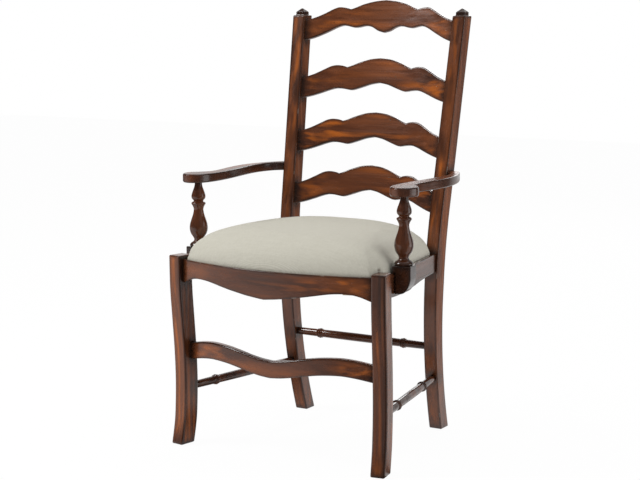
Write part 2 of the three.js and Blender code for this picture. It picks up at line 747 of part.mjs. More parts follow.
function slatTenon(top, grow = 0) {
  const half = halfWidthAt(top - slatTenonDrop);
  const start = half - slatTenonThickness / 2;
  const end = half + slatTenonLength + grow;
  const tenon = box(end - start, slatTenonThickness + 2 * grow, slatTenonHeight + 2 * grow,
    (start + end) / 2, slatThickness / 2, -slatTenonDrop);
  return tenon.applyMatrix4(slatPlace(top));
}

function slat(top, upperRuns, lowerRuns) {
  const half = halfWidthAt(top - slatTenonDrop);
  const upper = slatEdge(upperRuns, half, slatEndDrop);
  const lower = slatEdge(lowerRuns, half, slatHeight);
  const flip = (points) => points.slice(1).map((p) => new THREE.Vector2(-p.x, p.y)).reverse();
  const face = board([...flip(lower), ...lower, ...[...flip(upper), ...upper].reverse()],
    2 * (slatBow + slatThickness + throughCut), acrossY);
  const reach = upper[upper.length - 1].x;
  const row = (offset) => Array.from({ length: archSteps + 1 }, (_, i) => {
    const x = reach * (2 * i / archSteps - 1);
    return new THREE.Vector2(x, bowedY(x, half, offset, slatBow));
  });
  const fall = slatTenonDrop + slatHeight;
  const band = board([...row(0), ...row(slatThickness).reverse()], fall + throughCut, acrossZ);
  band.translate(0, 0, (throughCut - fall) / 2);
  const blank = common(band, face).applyMatrix4(slatPlace(top));
  const trimmed = cut(blank, postBlank(fitGap), mirrored(postBlank(fitGap)));
  return join(trimmed, slatTenon(top), mirrored(slatTenon(top)));
}

// Front stretcher
const stretcherEndY = frontFaceY + legBack(stretcherMiddle) + stretcherSetback;
const stretcherTenonZ = stretcherMiddle + stretcherWave * stretcherTenonShare;

function stretcherTenon(grow = 0) {
  const start = frontRailHalf - stretcherThickness / 2;
  const end = frontRailHalf + stretcherTenonLength + grow;
  return box(end - start, tenonThickness + 2 * grow, stretcherTenonHeight + 2 * grow,
    (start + end) / 2, stretcherEndY + stretcherThickness / 2, stretcherTenonZ);
}

function frontStretcher() {
  const centre = splinePoints(waveShares, archSteps).map(({ x, y }) => (
    new THREE.Vector2(x * frontRailHalf, stretcherMiddle + y * stretcherWave)
  ));
  const line = [...centre.slice(1).map((p) => new THREE.Vector2(-p.x, p.y)).reverse(), ...centre];
  const edge = (offset) => line.map((p) => new THREE.Vector2(p.x, p.y + offset));
  const face = board([...edge(-stretcherHeight / 2), ...edge(stretcherHeight / 2).reverse()],
    2 * (stretcherBow + stretcherThickness), acrossY).translate(0, stretcherEndY, 0);
  const reach = centre[centre.length - 1].x;
  const row = (offset) => Array.from({ length: archSteps + 1 }, (_, i) => {
    const x = reach * (2 * i / archSteps - 1);
    return new THREE.Vector2(x, bowedY(x, frontRailHalf, stretcherEndY + offset, -stretcherBow));
  });
  const height = stretcherHeight + stretcherWave + 2 * throughCut;
  const band = board([...row(0), ...row(stretcherThickness).reverse()], height, acrossZ);
  const blank = common(band.translate(0, 0, stretcherMiddle + stretcherWave / 2), face);
  const trimmed = cut(blank, legBlank(fitGap), mirrored(legBlank(fitGap)));
  return join(trimmed, stretcherTenon(), mirrored(stretcherTenon()));
}

// Turned stretchers: a slightly swelled shaft with a ring and bead near each end
function stretcherProfile(length, firstRing, lastRing) {
  const shaft = (h) => shaftRadius + shaftSwell * Math.sin(Math.PI * h / length);
  const ring = (h) => [
    [shaft(h - ringWidth), h - ringWidth], [beadRadius, h - ringWidth / 2 - beadWidth / 2],
    [shaft(h), h - ringWidth / 2], [ringRadius, h - ringWidth / 4], [ringRadius, h + ringWidth / 4],
    [shaft(h), h + ringWidth / 2], [beadRadius, h + ringWidth / 2 + beadWidth / 2],
    [shaft(h + ringWidth), h + ringWidth + beadWidth / 4],
  ];
  const plain = shaftShares.map((share) => firstRing + share * (lastRing - firstRing));
  return [
    [0, 0], [shaftRadius, 0], [shaftRadius, socketDepth], ...ring(firstRing),
    ...plain.map((h) => [shaft(h), h]), ...ring(lastRing),
    [shaftRadius, length - socketDepth], [shaftRadius, length], [0, length],
  ];
}

const sideFrom = fromLeg(0, legBack(sideStretcherZ));
const sideTo = new THREE.Vector2(postX(sideStretcherZ), postFace(sideStretcherZ) + postDepthFoot / 2);
const sideWay = sideTo.clone().sub(sideFrom).normalize();
const sideStart = sideFrom.clone().addScaledVector(sideWay, legDepth / 2 - socketDepth);
const sideEnd = sideTo.clone().addScaledVector(sideWay, socketDepth - postDepthFoot / 2);
const sideStretcherEnds = [sideStart, sideEnd].map((p) => new THREE.Vector3(p.x, p.y, sideStretcherZ));
const rearY = postFace(rearStretcherZ) + postDepthFoot / 2;
const rearHalf = postX(rearStretcherZ) - postWidth / 2 + socketDepth;
const rearStretcherEnds = [-1, 1].map((side) => new THREE.Vector3(side * rearHalf, rearY, rearStretcherZ));

function turnedStretcher([start, end], firstRing, lastRing) {
  const length = end.distanceTo(start);
  const profile = stretcherProfile(length, socketDepth + firstRing, length - socketDepth - lastRing);
  return turned(profile, start, end, ringSides);
}

function socket(mouth, bottom) {
  const way = bottom.clone().sub(mouth).normalize();
  return pin(shaftRadius + fitGap, mouth.clone().addScaledVector(way, -legDepth),
    bottom.clone().addScaledVector(way, fitGap), ringSides);
}

// Arms
const armUnder = armTop - armThickness;
const postOuterAtArm = postX(armTop - armThickness / 2) + postWidth / 2;

function armPlan() {
  const points = armShares.map(([out, back]) => [
    postOuterAtArm + out * armSpread,
    armFront + back * (armBack - armFront),
  ]);
  const smooth = splinePoints(points, armSteps);
  const inside = postOuterAtArm - postWidth / 3;
  return [new THREE.Vector2(inside, points[points.length - 1][1]),
    new THREE.Vector2(inside, armBack), ...smooth];
}

const armDowelY = (postFace(armTop) + armBack) / 2 + postEase;

function armDowel(grow = 0) {
  const z = armTop - armThickness / 2;
  const start = postOuterAtArm - armDowelInPost - grow;
  return pin(armDowelRadius + grow, new THREE.Vector3(start, armDowelY, z),
    new THREE.Vector3(start + armDowelLength + 2 * grow, armDowelY, z));
}

function supportHeadPin(grow = 0) {
  return pin(supportHeadTenonRadius + grow, new THREE.Vector3(supportX, supportY, armUnder - throughCut),
    new THREE.Vector3(supportX, supportY, armUnder + supportHeadTenon + grow));
}

function arm() {
  const slab = board(armPlan(), armThickness, acrossZ, armEase).translate(0, 0, armTop - armThickness / 2);
  return cut(slab, postBlank(fitGap), armDowel(fitGap), supportHeadPin(fitGap));
}

// Brackets, in the frame of the side rail
const supportInLeg = new THREE.Vector2(supportX, supportY).sub(legCentre);
const supportV = vAxis.dot(supportInLeg);
const bracketInner = sideRailOut + fitGap;

function bracket() {
  const outer = bracketInner + bracketWidth;
  const bottom = bracketTop - bracketHeight;
  const shoulder = bracketTop - bracketShoulder;
  const sweep = new THREE.CubicBezierCurve(
    new THREE.Vector2(bracketInner + bracketWidth * bracketToeShare, bottom),
    new THREE.Vector2(bracketInner + bracketWidth * bracketFootShare, bottom),
    new THREE.Vector2(
      bracketInner + bracketWidth * bracketCheekShare,
      shoulder - bracketWidth * bracketDropShare,
    ),
    new THREE.Vector2(outer, shoulder),
  ).getPoints(bendSteps);
  const outline = [
    new THREE.Vector2(bracketInner - bracketLip, railTop + fitGap),
    new THREE.Vector2(bracketInner, railTop + fitGap),
    new THREE.Vector2(bracketInner, bottom + bracketEase), ...sweep,
    new THREE.Vector2(outer, bracketTop), new THREE.Vector2(bracketInner - bracketLip, bracketTop),
  ];
  const block = board(outline, bracketLength, acrossY, bracketEase).translate(0, supportV, 0);
  return cut(inLegFrame(block), supportFootPin(fitGap), ...bracketScrews(fitGap));
}

function supportFootPin(grow = 0) {
  return pin(supportFootTenonRadius + grow,
    new THREE.Vector3(supportX, supportY, bracketTop - supportFootTenon - grow),
    new THREE.Vector3(supportX, supportY, bracketTop + throughCut), ringSides);
}

// Screws from inside the side rail into the bracket
function bracketScrews(grow = 0) {
  return [-1, 1].map((side) => {
    const v = supportV + side * bracketScrewPitch / 2;
    const head = fromLeg(sideRailOut - railThickness + screwSink, v);
    const z = railTop - sideRailHeight / 2;
    const outward = new THREE.Vector3(uAxis.x, uAxis.y, 0);
    return screw(new THREE.Vector3(head.x, head.y, z), outward, grow, grow ? throughCut : 0);
  });
}

function armSupport() {
  const base = bracketTop + fitGap;
  const rise = armUnder - fitGap - base;
  const body = supportShares.map(([h, r]) => [r * supportBulge, supportFootTenon + h * rise]);
  const full = supportFootTenon + rise + supportHeadTenon;
  const profile = [
    [0, 0], [supportFootTenonRadius, 0], [supportFootTenonRadius, supportFootTenon], ...body,
    [supportHeadTenonRadius, supportFootTenon + rise], [supportHeadTenonRadius, full], [0, full],
  ];
  const start = new THREE.Vector3(supportX, supportY, base - supportFootTenon);
  return turned(profile, start, start.clone().add(zAxis), supportSides);
}

// Screws through the corner blocks, square to each rail
function frontBlockScrews(grow = 0) {
  const x = frontRailHalf - blockFrontReach * blockScrewShare;
  const slope = 2 * frontRailBow * x / frontRailHalf ** 2;
  const toFront = new THREE.Vector3(slope, -1, 0).normalize();
  const faceY = bowedY(x, frontRailHalf, frontRailEndY, -frontRailBow) + railThickness;
  const back = screwLength - railThickness * screwBiteShare;
  const first = new THREE.Vector3(x, faceY, blockZ).addScaledVector(toFront, -back);
  const face = fromLeg(sideRailOut - railThickness, legDepth / 2 + blockSideScrew);
  const outward = new THREE.Vector3(uAxis.x, uAxis.y, 0);
  const second = new THREE.Vector3(face.x, face.y, blockZ).addScaledVector(outward, -back);
  const pocket = grow ? screwPocket : 0;
  return [screw(first, toFront, grow, pocket), screw(second, outward, grow, pocket)];
}

function backBlockScrews(grow = 0) {
  const x = postX(blockZ) - postWidth / 2 - blockBackReach * blockScrewShare;
  const back = screwLength - railThickness * screwBiteShare;
  const first = new THREE.Vector3(x, backRailY - back, blockZ);
  const start = sideRailLength - postHalfAtSeat - blockBackReach * blockScrewShare;
  const face = fromLeg(sideRailOut - railThickness, start);
  const outward = new THREE.Vector3(uAxis.x, uAxis.y, 0);
  const second = new THREE.Vector3(face.x, face.y, blockZ).addScaledVector(outward, -back);
  const pocket = grow ? screwPocket : 0;
  return [screw(first, yAxis, grow, pocket), screw(second, outward, grow, pocket)];
}

// Assembly
const chair = new THREE.Group();
chair.name = 'ladder_back_armchair';

function place(name, geometry, finish, group = chair) {
  const mesh = new THREE.Mesh(geometry, new THREE.MeshStandardMaterial(finish));
  mesh.name = name;
  group.add(mesh);
  return mesh;
}

function placePair(name, geometry, finish) {
  place(`${name}_right`, geometry, finish);
  place(`${name}_left`, mirrored(geometry), finish);
}

const crestTop = postShoulder + crestRise;
const slatTops = slatSpacingShares.map((share) => crestTop - share * (crestTop - railTop - lowSlatRise));

placePair('front_leg', cut(legBlank(), frontTenon(fitGap), sideTenon(false, fitGap), stretcherTenon(fitGap),
  socket(sideStretcherEnds[1], sideStretcherEnds[0]), glideHole(frontFoot.x, frontFoot.y)), mahogany);

placePair('back_post', cut(join(postBlank(), finial()), ...slatTops.map((top) => slatTenon(top, fitGap)),
  sideTenon(true, fitGap), backTenon(fitGap), armDowel(fitGap),
  socket(sideStretcherEnds[0], sideStretcherEnds[1]), socket(rearStretcherEnds[0], rearStretcherEnds[1]),
  glideHole(postX(0), footY)), mahogany);

const recess = seatPlate(0, recessFloor, railTop + throughCut);
const frontBlank = common(frontRailBand(), apron());
const frontTrimmed = cut(frontBlank, besideLeg(), mirrored(besideLeg()), recess);
const frontBlockHoles = frontBlockScrews(fitGap);
place('front_seat_rail', cut(join(frontTrimmed, frontTenon(), mirrored(frontTenon())),
  frontBlockHoles[0], mirrored(frontBlockHoles[0])), mahogany);

const backBlockHoles = backBlockScrews(fitGap);
const sideTrimmed = cut(sideRailBlank(), legBlank(fitGap), postBlank(fitGap), recess);
placePair('side_seat_rail', cut(join(sideTrimmed, sideTenon(false), sideTenon(true)),
  frontBlockHoles[1], backBlockHoles[1], ...bracketScrews(fitGap)), mahogany);

const backTrimmed = cut(backRailBlank(), postBlank(fitGap), mirrored(postBlank(fitGap)), recess);
place('back_seat_rail', cut(join(backTrimmed, backTenon(), mirrored(backTenon())),
  backBlockHoles[0], mirrored(backBlockHoles[0])), mahogany);

placePair('corner_block_front', cut(frontBlock(), ...frontBlockHoles), blockPine);
placePair('corner_block_back', cut(backBlock(), ...backBlockHoles), blockPine);
frontBlockScrews().forEach((geometry, i) => placePair(`block_screw_front_${i + 1}`, geometry, steel));
backBlockScrews().forEach((geometry, i) => placePair(`block_screw_back_${i + 1}`, geometry, steel));

place('crest_slat', slat(slatTops[0], crestUpperShares, crestLowerShares), mahogany);
slatTops.slice(1).forEach((top, i) => {
  place(`back_slat_${i + 2}`, slat(top, slatUpperShares, slatLowerShares), mahogany);
});

place('front_stretcher', frontStretcher(), mahogany);
placePair('side_stretcher', turnedStretcher(sideStretcherEnds, sideRingFront, sideRingBack), darkMahogany);
place('rear_stretcher', turnedStretcher(rearStretcherEnds, rearRing, rearRing), darkMahogany);

placePair('arm', arm(), mahogany);
placePair('arm_dowel', armDowel(), blockPine);
placePair('arm_support', armSupport(), darkMahogany);
placePair('arm_bracket', bracket(), darkMahogany);
bracketScrews().forEach((geometry, i) => placePair(`bracket_screw_${i + 1}`, geometry, steel));

placePair('glide_front', glide(frontFoot.x, frontFoot.y), glideNylon);
placePair('glide_back', glide(postX(0), footY), glideNylon);

place('seat_board', seatPlate(boardInset, boardLow, boardHigh), plywood);
place('seat_foam', seatFoam(), foamBuff);
place('seat_cover', seatCover(), linen);
place('seat_dust_cover', dustCover(), cambric);

// The origin is on the floor under the middle of the chair
const extent = new THREE.Box3().setFromObject(chair);
chair.position.y = -(extent.min.y + extent.max.y) / 2;
chair.updateMatrixWorld(true);

export default chair;
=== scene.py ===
import math

import bmesh
import bpy
from mathutils import Matrix, Vector
from mathutils.bvhtree import BVHTree
from mathutils.kdtree import KDTree


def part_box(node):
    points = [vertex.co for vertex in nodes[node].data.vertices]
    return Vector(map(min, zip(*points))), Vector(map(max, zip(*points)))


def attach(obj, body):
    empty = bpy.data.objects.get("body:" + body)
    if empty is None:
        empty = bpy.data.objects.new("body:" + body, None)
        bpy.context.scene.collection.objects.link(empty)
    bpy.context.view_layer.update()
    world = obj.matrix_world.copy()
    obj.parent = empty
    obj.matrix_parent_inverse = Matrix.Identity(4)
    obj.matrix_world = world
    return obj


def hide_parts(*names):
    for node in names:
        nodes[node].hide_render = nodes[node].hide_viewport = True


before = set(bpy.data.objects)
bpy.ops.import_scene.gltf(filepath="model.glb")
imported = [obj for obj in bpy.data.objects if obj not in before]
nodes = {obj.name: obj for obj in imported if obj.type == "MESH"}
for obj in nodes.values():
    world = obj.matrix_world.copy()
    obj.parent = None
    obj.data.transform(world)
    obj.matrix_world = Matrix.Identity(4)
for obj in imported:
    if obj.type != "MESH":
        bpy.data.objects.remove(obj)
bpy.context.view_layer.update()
scene = bpy.context.scene
print("frame loaded:", len(nodes), "nodes")

# Sizes are in millimetres, in the chair's own plan; toScene puts them in metres in the frame
mm = 0.001
weld = 1e-6
plan = {
    "legX": 281, "legY": -231.75, "legWidth": 36, "legDepth": 46.5, "legTop": 478, "frontFace": -255,
    "postX": 202.75, "postLean": 32 / 1060, "postWidth": 35, "postDepth": 44.5, "postFace": 151.5,
    "postShoulder": 1060, "railTop": 469, "recessFloor": 458, "railThickness": 24, "backSetback": 11.5,
    "foot": 0.9,
}
frontHalf = plan["legX"] - plan["legWidth"] / 2
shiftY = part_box("back_seat_rail")[0].y / mm - plan["postFace"] - plan["backSetback"]


def toScene(x, y, z):
    return Vector((x, y + shiftY, z)) * mm


def postX(z):
    return plan["postX"] + plan["postLean"] * z


# Run of the side rails from leg to post; the legs stand square to it
railRun = Vector((postX(plan["railTop"]) - plan["legX"],
                  plan["postFace"] + plan["postDepth"] / 2 - plan["legY"]))
sideAngle = math.atan2(-railRun.x, railRun.y)
uWay = Vector((math.cos(sideAngle), math.sin(sideAngle)))
vWay = Vector((-math.sin(sideAngle), math.cos(sideAngle)))


def fromLeg(u, v, z):
    spot = Vector((plan["legX"], plan["legY"])) + uWay * u + vWay * v
    return toScene(spot.x, spot.y, z)


def toLeg(x, y):
    offset = Vector((x - plan["legX"], y - plan["legY"]))
    return Vector((uWay.dot(offset), vWay.dot(offset)))


# How far forward a front rail or stretcher bows at x
def bowAt(x, bow):
    return bow * (1 - (x / frontHalf) ** 2)


# A smooth curve through points, as points
def curvePoints(points, steps=60):
    result = []
    last = len(points) - 1
    for step in range(steps + 1):
        spot = last * step / steps
        i = min(int(spot), last - 1)
        t = spot - i
        around = [points[max(i - 1, 0)], points[i], points[i + 1], points[min(i + 2, last)]]
        result.append(tuple(
            b + 0.5 * t * (c - a + t * (2 * a - 5 * b + 4 * c - d + t * (3 * (b - c) + d - a)))
            for a, b, c, d in zip(*around)))
    return result


def valueAt(curve, x):
    for (x0, y0), (x1, y1) in zip(curve, curve[1:]):
        if x <= x1:
            return y0 + (y1 - y0) * (x - x0) / max(x1 - x0, 1e-9)
    return curve[-1][1]


def spread(start, end, steps):
    return [start + (end - start) * i / steps for i in range(steps + 1)]


def limited(value):
    return min(1, max(0, value))


wear = {
    "edgeReach": 14, "jointReach": 26, "softLip": 12, "footRadius": 3.5, "footDarkReach": 22, "footDark": 0.8,
    "finialFade": 8,
}


# Points round a four-sided section, with points near each corner so that edges can be rounded and worn;
# spot places a point by its two measures, and a slim section has fewer points on its second and fourth side
def boxSection(spot, first, second, lip, slim=False):
    corners = [spot(first[i], second[j]) for i, j in ((0, 0), (1, 0), (1, 1), (0, 1))]
    points = []
    for i, corner in enumerate(corners):
        way = corners[(i + 1) % 4] - corner
        near = min(lip * mm / max(way.length, 1e-9), 0.4)
        inner = min(wear["softLip"] * mm / max(way.length, 1e-9), 0.45)
        shares = [0, near, 0.5, 1 - near] if slim and i % 2 else [0, near, inner, 0.5, 1 - inner, 1 - near]
        points += [corner + way * share for share in shares]
    return points


def closeBody(bm):
    bmesh.ops.remove_doubles(bm, verts=bm.verts, dist=weld)
    bmesh.ops.holes_fill(bm, edges=[e for e in bm.edges if e.is_boundary], sides=0)
    bmesh.ops.recalc_face_normals(bm, faces=bm.faces)


# A body skinned over a run of sections
def skin(sections):
    bm = bmesh.new()
    columns = len(sections[0])
    bmesh.ops.create_grid(bm, x_segments=columns, y_segments=len(sections) - 1, size=1)
    bm.verts.ensure_lookup_table()
    for row, section in enumerate(sections):
        for column in range(columns + 1):
            bm.verts[row * (columns + 1) + column].co = section[column % columns]
    closeBody(bm)
    return bm


# A flat outline given a thickness
def plate(outline, thickness):
    bm = bmesh.new()
    face = bm.faces.new([bm.verts.new(point) for point in outline])
    grown = bmesh.ops.extrude_face_region(bm, geom=[face], use_keep_orig=True)
    top = [v for v in grown["geom"] if isinstance(v, bmesh.types.BMVert)]
    bmesh.ops.translate(bm, vec=thickness, verts=top)
    bmesh.ops.recalc_face_normals(bm, faces=bm.faces)
    return bm


def sharpEdges(bm, degrees=28):
    return [e for e in bm.edges if len(e.link_faces) == 2 and e.calc_face_angle() > math.radians(degrees)]


def roundEdges(bm, edges, radius, segments=3):
    bmesh.ops.bevel(bm, geom=edges, offset=radius * mm, offset_type="OFFSET", segments=segments, profile=0.5,
                    affect="EDGES", material=-1, clamp_overlap=True)


# Cut a body into even slices, so that its flat sides have points of their own
def sliceUp(bm, way, step):
    reach = [vert.co.dot(way) for vert in bm.verts]
    for place in spread(min(reach), max(reach), int((max(reach) - min(reach)) / step / mm))[1:-1]:
        bmesh.ops.bisect_plane(bm, geom=bm.verts[:] + bm.edges[:] + bm.faces[:], dist=1e-7,
                               plane_co=way * place, plane_no=way)


# Round the long edges of a leg and then, more, the edges of its foot
def roundLeg(bm, edges, radius):
    roundEdges(bm, edges, radius)
    foot = [e for e in sharpEdges(bm) if max(v.co.z for v in e.verts) < (plan["foot"] + 0.05) * mm]
    roundEdges(bm, foot, wear["footRadius"], 4)


def edgeTree(edges, step=3):
    points = []
    for edge in edges:
        a, b = edge.verts[0].co, edge.verts[1].co
        count = max(1, int((b - a).length / (step * mm)))
        points += [a.lerp(b, i / count) for i in range(count + 1)]
    tree = KDTree(len(points))
    for i, point in enumerate(points):
        tree.insert(point, i)
    tree.balance()
    return tree


# How near each point is to an edge of its piece and to the pieces that it joins, and how far it faces
# the front or upwards, where hands rub the stain; the same measure places painted light and shade on sideways
# faces
def markWear(bm, tree, neighbours, darkAbove=2000):
    edgeLayer, jointLayer, frontWearShadeLayer = [bm.verts.layers.float.new(name)
                                         for name in ("edgeWear", "jointWear", "frontWearAndShade")]
    bm.normal_update()
    surfaces = [BVHTree.FromPolygons([v.co for v in nodes[name].data.vertices],
                                     [p.vertices for p in nodes[name].data.polygons]) for name in neighbours]
    for vert in bm.verts:
        distance = tree.find(vert.co)[2] / mm if tree else wear["edgeReach"]
        vert[edgeLayer] = max(0, 1 - distance / wear["edgeReach"])
        vert[frontWearShadeLayer] = max(-vert.normal.y, vert.normal.z, 0)
        # Darker towards the foot, fading out at a set height over the floor
        near = wear["footDark"] * max(0, 1 - vert.co.z / mm / wear["footDarkReach"])
        for surface in surfaces:
            found = surface.find_nearest(vert.co, wear["jointReach"] * mm)
            if found[0]:
                near = max(near, 1 - found[3] / mm / wear["jointReach"])
        vert[jointLayer] = max(near, limited((vert.co.z / mm - darkAbove) / wear["finialFade"]))


# Round a body's sharp edges, cut it into slices where asked, and mark its wear
def finishBody(bm, radius, neighbours, sliceWays=(), step=0):
    edges = sharpEdges(bm, 40)
    tree = edgeTree(edges)
    roundEdges(bm, edges, radius)
    for way in sliceWays:
        sliceUp(bm, way, step)
    markWear(bm, tree, neighbours)
    return bm


def addObject(name, data):
    added = bpy.data.objects.new(name, data)
    scene.collection.objects.link(added)
    return added


def addMesh(name, bm):
    mesh = bpy.data.meshes.new(name)
    bm.to_mesh(mesh)
    bm.free()
    return addObject(name, mesh)


def addPiece(bm, name, material, replaced, body="frame", side=1):
    if side < 0:
        bmesh.ops.scale(bm, vec=(-1, 1, 1), verts=bm.verts)
    bmesh.ops.remove_doubles(bm, verts=bm.verts, dist=weld)
    bmesh.ops.recalc_face_normals(bm, faces=bm.faces)
    piece = addMesh(name, bm)
    piece.data.shade_smooth()
    piece.data.materials.append(material)
    steady = piece.modifiers.new("steadyShading", "WEIGHTED_NORMAL")
    steady.weight = 60
    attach(piece, body)
    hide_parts(*replaced)


# A right piece and its mirror copy, each in its own wood
def addPair(bm, stem, materials, node):
    other = bm.copy()
    addPiece(bm, stem + "_right", materials[0], [node + "_right"])
    addPiece(other, stem + "_left", materials[1], [node + "_left"], side=-1)


# Materials, with colours as 8-bit sRGB
def linear(r, g, b):
    return tuple(((c / 255 + 0.055) / 1.055) ** 2.4 if c > 10 else c / 255 / 12.92 for c in (r, g, b)) + (1,)


# The nodes of a new material, or of a world
class Tree:
    def __init__(self, name, owner=None):
        owner = owner or bpy.data.materials.new(name)
        owner.use_nodes = True
        self.owner = owner
        self.nodes = owner.node_tree.nodes
        self.links = owner.node_tree.links
        self.shader = self.nodes.get("Principled BSDF")

    def add(self, kind, inputs=None, **settings):
        node = self.nodes.new("ShaderNode" + kind)
        for key, value in settings.items():
            setattr(node, key, value)
        for key, value in (inputs or {}).items():
            self.feed(node.inputs[key], value)
        return node

    def feed(self, socket, value):
        if isinstance(value, bpy.types.NodeSocket):
            self.links.new(value, socket)
        else:
            socket.default_value = value

    def here(self):
        return self.add("TexCoord").outputs["Object"]

    def mark(self, name):
        return self.add("Attribute", attribute_name=name).outputs["Fac"]

    def math(self, operation, a, b=0.0, clamp=False):
        return self.add("Math", {0: a, 1: b}, operation=operation, use_clamp=clamp).outputs[0]

    def vector(self, operation, a, b=(0, 0, 0)):
        node = self.add("VectorMath", {0: a, 1: b}, operation=operation)
        return node.outputs["Value" if operation == "DOT_PRODUCT" else "Vector"]

    def times(self, a, b, clamp=False):
        return self.math("MULTIPLY", a, b, clamp)

    def larger(self, a, b):
        return self.math("MAXIMUM", a, b)

    # Sum of values, each given with its weight
    def total(self, *parts):
        result = None
        for value, weight in parts:
            part = self.times(value, weight)
            result = self.math("ADD", result, part) if result else part
        return result

    def mapped(self, vector, **settings):
        return self.add("Mapping", {"Vector": vector, **settings}).outputs[0]

    def noise(self, vector, scale, detail, roughness=0.55, distortion=0.0):
        return self.add("TexNoise", {"Vector": vector, "Scale": scale, "Detail": detail,
                                     "Roughness": roughness, "Distortion": distortion}).outputs["Fac"]

    # Noise drawn out along the grain
    def grain(self, vector, scale, detail, roughness=0.55, shift=(0, 0, 0), distortion=0.0):
        stretched = self.mapped(vector, Location=shift, Scale=scale)
        return self.noise(stretched, 1.0, detail, roughness, distortion)

    def ramp(self, value, *stops):
        node = self.add("ValToRGB", {"Fac": value})
        for i, (place, colour) in enumerate(stops):
            element = node.color_ramp.elements[i] if i < 2 else node.color_ramp.elements.new(place)
            element.position = place
            element.color = linear(*colour)
        return node.outputs["Color"]

    def range(self, value, low, high, toLow=0.0, toHigh=1.0):
        return self.add("MapRange", {"Value": value, "From Min": low, "From Max": high,
                                     "To Min": toLow, "To Max": toHigh}).outputs[0]

    def blend(self, share, base, colour):
        node = self.add("Mix", data_type="RGBA", blend_type="MIX")
        for socket, value in (("Factor", share), (6, base), (7, linear(*colour))):
            self.feed(node.inputs[socket], value)
        return node.outputs[2]

    def bump(self, height, distance, strength, normal=None):
        node = self.add("Bump", {"Height": height, "Strength": strength, "Distance": distance})
        if normal:
            self.feed(node.inputs["Normal"], normal)
        return node.outputs[0]

    def set(self, **values):
        for key, value in values.items():
            self.feed(self.shader.inputs[key.replace("_", " ")], value)


# Layers of the wood: scale along and across the grain, detail, roughness, and a shift that keeps them apart
woodGrain = {
    "wander": ((2.2, 4, 4), 1), "broad": ((1.2, 20, 20), 2, 0.45), "fine": ((3, 110, 110), 3),
    "fibre": ((24, 560, 560), 3, 0.65), "streak": ((1.6, 66, 66), 1.5, 0.45, (3.1, 0, 0)),
    "patch": ((2.6, 9, 9), 1, 0.5, (0, 1.7, 0)), "line": ((3.5, 150, 150), 2, 0.5, (0, 4.3, 0)),
    "rub": ((22, 40, 40), 4, 0.6), "paintedGlint": ((30, 55, 55), 2, 0.6, (0, 0, 2.2)), "fleck": ((13, 13, 13), 1),
    "swell": ((12, 30, 30), 2),
}
# The span over which a layer or a wear mark takes hold, from none to full
woodSpans = {
    "front": (0.2, 0.8), "streak": (0.47, 0.67), "patch": (0.38, 0.6), "unworn": (0.75, 0.3),
    "line": (0.58, 0.72), "crisp": (0.62, 0.84), "soft": (0.15, 0.85), "rub": (0.3, 0.6), "joint": (0.1, 1.0),
    "paintedGlint": (0.64, 0.68), "paintedGlintEdge": (0.86, 0.95), "cell": (0.11, 0.06), "fleck": (0.56, 0.6),
    "gloss": (0.3, 0.7),
}
# Colour and strength of what is laid over the wood
woodPaints = {
    "amber": ((186, 98, 25), 0.72), "line": ((42, 25, 16), 0.26), "edge": ((24, 15, 11), 1.0),
    # chip: near-white painted highlight laid on the edges
    "paintedGlint": ((190, 180, 168), 0.55), "fleck": ((22, 13, 10), 0.75),
}
woodLook = {
    "base": ((0.35, (56, 31, 20)), (0.5, (90, 48, 26)), (0.65, (118, 64, 31))), "weights": (0.72, 0.19, 0.09),
    "wander": 0.016, "amberAside": 0.4, "edge": 0.74, "soft": 0.3, "joint": 0.93, "rubbedEdge": 0.5,
    "rubbedJoint": 0.75, "cells": (1, 1.9, 1.9), "cellScale": 42, "gloss": (0.18, 0.31), "edgeGloss": -0.11,
    "relief": (0.35, 0.65, -1.2), "depth": (0.0003, 0.4), "swellDepth": (0.002, 0.45), "specular": 0.5,
}
